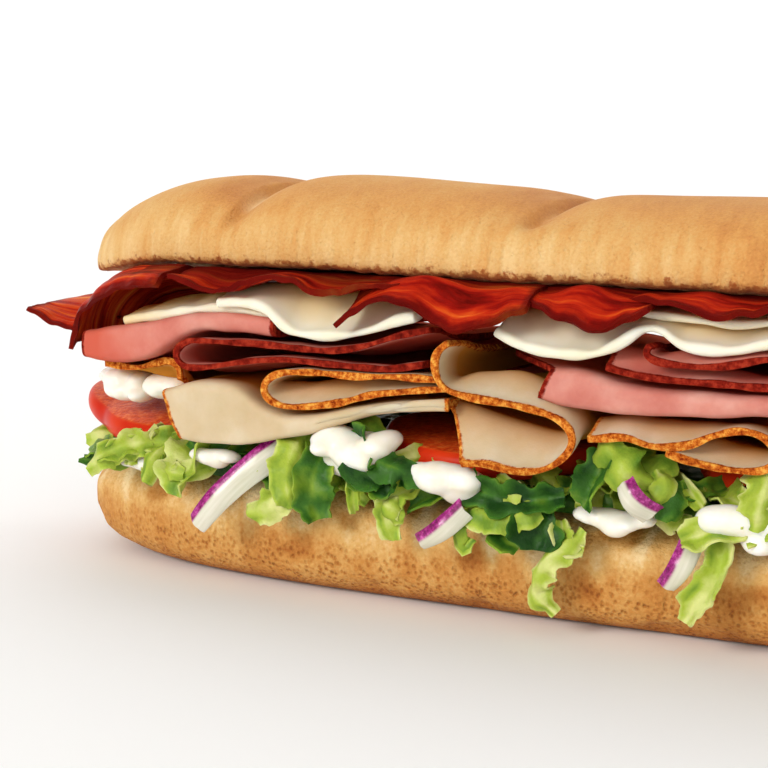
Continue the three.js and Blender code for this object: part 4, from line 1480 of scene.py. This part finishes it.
@dataclass
class Sauce:
    """Creamy sauce: lumps that melted together between the layers and over the roll's edge."""

    shape: RollShape
    maker: Maker
    voxel: float = 0.5
    lumps: int = 10
    layout: tuple[tuple[Point, Point], ...] = (
        ((-125.5, -30, 40.6), (6.4, 8, 2.8)), ((-112.5, -32, 40.4), (5.4, 6, 2.8)),
        ((-113, -39.5, 24.4), (9, 5, 1.7)), ((-94.2, -42, 28.4), (5, 4.6, 1.7)),
        ((-63, -41, 33.6), (9, 7.5, 3.6)), ((-43.5, -43, 28.6), (7.6, 4, 3.2)),
        ((-9.4, -42, 24.2), (7.6, 4.4, 1.7)), ((15.5, -42.4, 26), (6.2, 4.4, 3.6)),
        ((47.5, -42, 28.2), (4, 4.4, 1.6)), ((77, -41, 31.6), (9, 7, 3)), ((101, -43, 27.4), (7, 4.2, 2.6)),
    )

    def build(self) -> None:
        """Builds each blob at its place, from its centre and half sizes."""
        for i, (centre, half) in enumerate(self.layout, 1):
            self._blob(f"sauce_{i}", Vector(centre), Vector(half))

    def _blob(self, node: str, centre: Vector, half: Vector) -> None:
        """One blob: balls strewn through its room, melted together."""
        rng = random.Random(f"{SEED} {node}")
        bm = bmesh.new()
        for n in range(self.lumps):
            share = 2 * (n + 0.5) / self.lumps - 1
            drip = rng.uniform(-1.1, 0.4) if n % 2 else 0.1
            off = Vector((share * 0.9 * half.x, rng.uniform(-0.4, 0.2) * half.y, drip * half.z))
            reach = max(half.z, 2.0) * rng.uniform(0.65, 1.3) * (1 - 0.3 * abs(share))
            size = Matrix.Diagonal((reach * 1.25, max(reach, 0.6 * half.y), reach * 0.85, 1.0))
            place = self.shape.press(*(centre + off))
            ball = bmesh.ops.create_icosphere(bm, subdivisions=3, radius=1.0)
            bmesh.ops.transform(bm, matrix=size, verts=ball["verts"])
            bmesh.ops.translate(bm, vec=place, verts=ball["verts"])
        bmesh.ops.scale(bm, vec=(MM, MM, MM), verts=bm.verts)
        made = self.maker.piece(bm, f"{node}_blob", Look.SAUCE, node)
        melt = made.modifiers.new("melting", "REMESH")
        melt.mode = "VOXEL"
        melt.voxel_size = self.voxel * MM
        melt.use_smooth_shade = True
        settle = made.modifiers.new("settling", "SMOOTH")
        settle.iterations = 14
        settle.factor = 0.7


@dataclass(frozen=True)
class Shred:
    """One ribbon of leaf: the points that it runs through, its width and its tone, from 0 for
    the pale heart to 1 for the dark outer leaf."""

    path: tuple[Point, ...]
    width: float
    tone: float

    def mirrored(self, shape: RollShape) -> "Shred":
        """The same ribbon turned round to the back, where there is less height."""
        path = []
        for x, y, z in self.path:
            above = max(0.0, z - shape.base_height)
            low = min(z, shape.base_height) + above * shape.wedge(-y)
            path.append((-x * 0.97 + 3, -y, low))
        return Shred(tuple(path), self.width, 1 - 0.8 * self.tone)

    def moved(self, way: float) -> "Shred":
        """The same ribbon further along the roll."""
        return Shred(tuple((x + way, y, z) for x, y, z in self.path), self.width, self.tone)


@dataclass
class Lettuce:
    """Shredded lettuce: a flat core and the ribbons that stick out of it, all round."""

    shape: RollShape
    maker: Maker
    low: float = 22.4
    high: float = 27.5
    half_length: float = 130.0
    half_width: float = 35.0
    leaf_thick: float = 0.42
    step: float = 0.62
    rough_step: float = 1.15
    fillers: int = 150
    end_ribbons: int = 16
    repeat: float = 140.0
    half_repeat: float = 64.0
    front: tuple[Shred, ...] = field(default_factory=lambda: (
        Shred(((-99, -36, 29), (-108, -41, 29.5), (-116, -44, 27.5), (-121.5, -45, 23.5)), 6, 0.3),
        Shred(((-103, -38, 30), (-112, -42, 28.5), (-119, -45, 26)), 5, 0.45),
        Shred(((-103, -38, 31), (-106, -43, 27), (-107.5, -45.5, 22)), 4.5, 0.45),
        Shred(((-110, -40, 26), (-104, -44, 25), (-98, -45, 24.5)), 4, 0.4),
        Shred(((-97, -37, 29.5), (-98, -43, 27), (-99.5, -46, 20)), 9.5, 0.3),
        Shred(((-92, -40, 28), (-96, -43.5, 25.5), (-101, -45, 25.5)), 5, 0.35),
        Shred(((-79, -40, 26), (-77.5, -43.5, 23), (-76, -45, 20)), 4.5, 0.75),
        Shred(((-76, -40, 25), (-77.5, -44, 22), (-78.5, -45.5, 17.5)), 3, 0.55),
        Shred(((-73, -38, 35), (-73.5, -44.5, 30), (-73, -47, 25), (-72, -47, 20.5)), 8, 0.35),
        Shred(((-67.5, -39, 33), (-68, -45, 27.5), (-67.5, -46.5, 23), (-66.5, -46, 18.5)), 8, 0.72),
        Shred(((-68, -40, 30), (-72, -45.5, 24.5), (-77, -47, 20.5), (-82, -46.5, 18)), 7, 0.25),
        Shred(((-61, -42, 36.5), (-57, -45.5, 33), (-56, -46.5, 29), (-52, -46, 27.5)), 6, 0.95),
        Shred(((-58, -41, 31), (-53, -46, 31), (-48, -46, 29.5), (-48, -45, 26.5)), 6.5, 0.9),
        Shred(((-62, -42, 28), (-56, -45.5, 27.5), (-50, -46, 26)), 5, 0.85),
        Shred(((-60, -42, 29), (-59.5, -45, 25), (-58.5, -46, 20.5)), 2.6, 0.5),
        Shred(((-48, -41, 27), (-51, -45, 24), (-51.5, -46, 20), (-50, -46, 16)), 5.5, 0.3),
        Shred(((-55.5, -43, 24.5), (-52, -46, 22.5), (-48, -45.5, 21)), 5, 0.35),
        Shred(((-38, -40, 28), (-32, -44.5, 27), (-25, -46, 26.5), (-16, -44, 28)), 6, 0.95),
        Shred(((-36, -42, 24), (-31, -46, 23), (-25, -47, 23.5), (-20, -45.5, 26)), 6.5, 0.45),
        Shred(((-22, -41, 27), (-21, -45.5, 23), (-21, -46.5, 17.5)), 9, 0.95),
        Shred(((-30, -42, 24), (-28, -46, 20), (-24, -46.5, 17.5)), 6, 0.7),
        Shred(((-35, -42, 24), (-36.5, -46, 20.5), (-35.5, -46, 16.5), (-33.5, -45.5, 18)), 3, 0.5),
        Shred(
            ((-12, -44.5, 22), (-15, -46.5, 18.5), (-19, -47, 14.5), (-20.3, -46.5, 9.5), (-16.5, -46, 5.6)),
            4.6, 0.25,
        ),
        Shred(((-17, -43, 23), (-15, -46, 19), (-11.5, -45.5, 18.3)), 4, 0.25),
        Shred(((-30, -42, 29.5), (-27, -45, 28), (-25, -45.5, 25.5)), 4, 0.3),
        Shred(((-10, -41, 38.5), (-6, -45, 36.5), (-3, -46, 33.5), (1, -44, 32)), 7.5, 0.45),
        Shred(((-9, -41, 36), (-10.5, -45, 31), (-12, -46, 26.5)), 6, 0.85),
        Shred(((1, -42, 34), (3.5, -45.5, 32), (2, -46.5, 29.2), (-1, -45, 30.5)), 4, 0.4),
        Shred(((4, -41, 32), (5, -45, 29), (4, -46, 25.5)), 5, 0.8),
        Shred(((18, -42, 26), (13, -46, 25), (7, -46.5, 22.5)), 6.5, 0.3),
        Shred(((13, -43, 23.5), (14.2, -46.5, 18.5), (11, -47, 12.5), (7.8, -46.5, 7.3)), 5.4, 0.28),
        Shred(((22, -41, 37), (21.5, -45, 32), (20.3, -46, 25.5)), 8, 0.3),
        Shred(((-7, -36, 37), (-2, -40, 34.5), (3, -42.5, 32)), 7, 0.55),
        Shred(((-66, -35, 38), (-60, -39.5, 37), (-54.5, -41.5, 35)), 5, 0.6),
    ))

    def build(self) -> None:
        """Builds the core and all the ribbons."""
        self._core()
        bm = bmesh.new()
        tone = bm.verts.layers.float.new("tone")
        rng = random.Random(SEED)
        right = [s.moved(self.repeat) for s in self.front if -100 < s.path[0][0] < -14]
        middle = [s.moved(self.half_repeat) for s in self.front if -40 < s.path[0][0] < 0]
        back = [s.mirrored(self.shape) for s in [*self.front, *right, *middle]]
        for shred in [*self.front, *right, *middle, *back]:
            self._ribbon(bm, tone, shred, rng, self.step)
        for shred in [*self._fillers(rng), *self._ends(rng)]:
            self._ribbon(bm, tone, shred, rng, self.rough_step)
        made = self.maker.piece(bm, "lettuce_shreds", Look.LETTUCE, "lettuce")
        thicken(made, self.leaf_thick)

    def _fillers(self, rng: random.Random) -> list[Shred]:
        """Short ribbons that lie between the halves along both sides."""
        found = []
        for i in range(self.fillers):
            facing = -1 if i % 2 else 1
            x = -126 + 252 * (i + rng.random()) / self.fillers
            z = rng.uniform(23.5, 31) if facing < 0 else rng.uniform(23.2, 27)
            turn = rng.uniform(-7, 7)
            path = (
                (x - turn, facing * 31.0, z), (x, facing * rng.uniform(37, 40), z + rng.uniform(-0.5, 1.5)),
                (x + turn, facing * rng.uniform(40, 43.5), z + rng.uniform(-2.5, 1.0)),
            )
            found.append(Shred(path, rng.uniform(2.5, 6), rng.uniform(0.15, 0.95)))
        return found

    def _ends(self, rng: random.Random) -> list[Shred]:
        """Ribbons that stick out at both ends of the roll."""
        found = []
        for i in range(self.end_ribbons):
            facing = -1 if i % 2 else 1
            y = -30 + 60 * (i + 0.5) / self.end_ribbons
            z = rng.uniform(23.5, 27)
            path = (
                (facing * 118, y, z), (facing * 128, y + rng.uniform(-3, 3), z + rng.uniform(0, 2)),
                (facing * rng.uniform(133, 137), y + rng.uniform(-5, 5), z - rng.uniform(0, 2)),
            )
            found.append(Shred(path, rng.uniform(5, 8), rng.uniform(0.2, 0.9)))
        return found

    def _ribbon(
        self, bm: bmesh.types.BMesh, tone: bmesh.types.BMLayerItem, shred: Shred, rng: random.Random,
        step: float,
    ) -> None:
        """Bends a grid along a ribbon's path, ruffled most at its edges."""
        span = sum((Vector(b) - Vector(a)).length for a, b in zip(shred.path, shred.path[1:]))
        columns = max(8, round(span / step))
        across = max(4, round(0.6 * shred.width / step))
        path = [Vector(p) for p in through(shred.path, columns)]
        facing = math.copysign(1, shred.path[-1][1])
        out = Vector((rng.uniform(-0.5, 0.5), facing, rng.uniform(0.1, 0.9))).normalized()
        phase = rng.uniform(0, math.tau)
        pitch = rng.uniform(4.5, 8)
        crease = rng.choice((-1, 1)) * rng.uniform(0.4, 1.0)
        ruffle = 0.12 * shred.width + 0.3
        slant = rng.uniform(-0.12, 0.12)
        seed = rng.uniform(0, 90)
        length = sum((b - a).length for a, b in zip(path, path[1:]))
        grid = bmesh.ops.create_grid(bm, x_segments=columns, y_segments=across, size=0.5)
        for vert in grid["verts"]:
            w = 2 * vert.co.y
            u = min(1.0, max(0.0, vert.co.x + 0.5 + slant * w * (vert.co.x + 0.5) ** 3))
            i = round(u * columns)
            run = (path[min(columns, i + 1)] - path[max(0, i - 1)]).normalized()
            side = run.cross(out).normalized()
            normal = side.cross(run).normalized()
            way = u * length
            edge = seed + math.copysign(3, w)
            jag = 1 + 0.45 * wobble(way / 3.4, edge, 0.0) + 0.22 * wobble(way / 1.2, edge, 4.0)
            taper = (0.6 + 0.4 * smooth(u / 0.2)) * (0.6 + 0.4 * smooth((1 - u) / 0.22))
            wide = shred.width / 2 * jag * taper
            wave = math.asin(math.sin(math.tau * way / pitch + phase + 0.8 * w)) / 1.57
            bent = crease * wide * (abs(w) - 0.4)
            crumple = 0.55 * wobble(way / 2.4, w * wide / 2.0, seed)
            lift = bent + ruffle * wave * (0.15 + 0.85 * w * w) + crumple
            vert.co = (path[i] + side * (w * wide) + normal * lift) * MM
            pale = 0.2 * smooth((abs(w) - 0.72) / 0.28) + 0.16 * math.exp(-((w / 0.2) ** 2))
            vert[tone] = shred.tone + 0.36 * wobble(way / 4, w * 1.5, seed) - pale
        for vert in grid["verts"]:
            for bordering in vert.link_edges:
                if bordering.is_boundary:
                    bordering.smooth = False

    def _core(self) -> None:
        """The bed of lettuce that the ribbons stick out of."""
        bm = bmesh.new()
        bmesh.ops.create_cube(bm, size=1.0)
        long = [e for e in bm.edges if abs(e.verts[0].co.x - e.verts[1].co.x) > 0.5]
        bmesh.ops.subdivide_edges(bm, edges=long, cuts=119, use_grid_fill=True)
        wide = [e for e in bm.edges if abs(e.verts[0].co.y - e.verts[1].co.y) > 0.5]
        bmesh.ops.subdivide_edges(bm, edges=wide, cuts=35, use_grid_fill=True)
        tone = bm.verts.layers.float.new("tone")
        for vert in bm.verts:
            x = 2 * self.half_length * vert.co.x
            y = 2 * self.half_width * vert.co.y
            rough = wobble(x / 3, y / 3, 0.0)
            heap = sum(3.2 * smooth(1.4 - abs(x - gap) / 9) for gap in (-75, 66.5))
            top = self.high - 0.6 + rough + heap
            z = top if vert.co.z > 0 else self.low
            vert[tone] = 0.8 + 0.3 * rough
            vert.co = self.shape.press(x, y * (1 + 0.02 * rough), z) * MM
        self.maker.piece(bm, "lettuce_core", Look.LETTUCE, "lettuce")


# Studio

@dataclass
class Studio:
    """A pale floor and wall, soft lights from afar and the camera."""

    camera_at: Point = (95.578, -362.993, 107.539)
    camera_turn: Point = (90 - 9.854, 0.0, 25.0)
    lens: float = 86.602
    sensor: float = 36.0
    floor_size: float = 24.0
    wall_at: float = 5.0

    def build(self) -> None:
        """Builds the camera, the floor, the wall, the lights and the surround."""
        self._camera()
        self._backdrop("floor", Matrix.Translation((0, 0, -0.1 * MM)))
        upright = Matrix.Rotation(math.radians(90), 4, "X")
        self._backdrop("wall", Matrix.Translation((0, self.wall_at, 0)) @ upright)
        self._light("key", (-50, -100, 55), 20.0, 1.5, "#fffdfa")
        self._light("fill", (30, -100, 20), 100.0, 1.5, "#fffdfa")
        self._light("back", (10, 40, 120), 40.0, 0.5, "#ffffff")
        world = bpy.data.worlds.new("studio")
        bpy.context.scene.world = world
        world.use_nodes = True
        surround = world.node_tree.nodes["Background"]
        surround.inputs["Color"].default_value = linear("#ffffff")
        surround.inputs["Strength"].default_value = 0.42
        bpy.context.scene.view_settings.view_transform = "Standard"

    def _camera(self) -> None:
        """The camera where the photograph was taken from."""
        data = bpy.data.cameras.new("camera")
        data.lens = self.lens
        data.sensor_width = self.sensor
        data.clip_start = 0.01
        made = bpy.data.objects.new("camera", data)
        made.location = Vector(self.camera_at) * MM
        made.rotation_euler = [math.radians(a) for a in self.camera_turn]
        bpy.context.scene.collection.objects.link(made)
        bpy.context.scene.camera = made

    def _backdrop(self, name: str, place: Matrix) -> None:
        """A wide sheet of matt white studio paper."""
        bm = bmesh.new()
        bmesh.ops.create_grid(bm, x_segments=1, y_segments=1, size=self.floor_size / 2)
        bmesh.ops.transform(bm, matrix=place, verts=bm.verts)
        mesh = bpy.data.meshes.new(name)
        bm.to_mesh(mesh)
        bm.free()
        made = bpy.data.objects.new(name, mesh)
        bpy.context.scene.collection.objects.link(made)
        material, tree, bsdf = start_material("studio paper matt", Roughness=0.85)
        cloud = add_node(tree, "ShaderNodeTexNoise", {"Scale": 3.0})
        tint = add_node(
            tree, "ShaderNodeValToRGB", {"Fac": cloud.outputs["Fac"]},
            stops=[(0.3, "#f7f7f6"), (0.7, "#fbfbfb")],
        )
        tree.links.new(tint.outputs["Color"], bsdf.inputs["Base Color"])
        mesh.materials.append(material)

    def _light(self, name: str, towards: Point, spread: float, strength: float, tint: str) -> None:
        """A distant soft light.

        Args:
            name: the light's name.
            towards: the direction that it comes from.
            spread: how wide it looks, in degrees, which softens its shadows.
            strength: its irradiance, in watts a square metre.
            tint: its colour.
        """
        data = bpy.data.lights.new(name, "SUN")
        data.angle = math.radians(spread)
        data.energy = strength
        data.color = linear(tint)[:3]
        made = bpy.data.objects.new(name, data)
        made.rotation_euler = (-Vector(towards)).to_track_quat("-Z", "Y").to_euler()
        bpy.context.scene.collection.objects.link(made)


def main() -> None:
    """Builds the studio and then the sandwich, from the roll to the salad."""
    logging.basicConfig(level=logging.INFO, format="%(name)s %(message)s")
    Studio().build()
    shape = RollShape()
    maker = Maker(Pantry())
    Roll(shape).build(maker)
    Turkey(shape, maker).build()
    Ham(shape, maker).build()
    Cheese(shape, maker).build()
    Bacon(shape, maker).build()
    Tomatoes(shape, maker).build()
    Onions(shape, maker).build()
    Sauce(shape, maker).build()
    Lettuce(shape, maker).build()


if __name__ == "__main__":
    main()
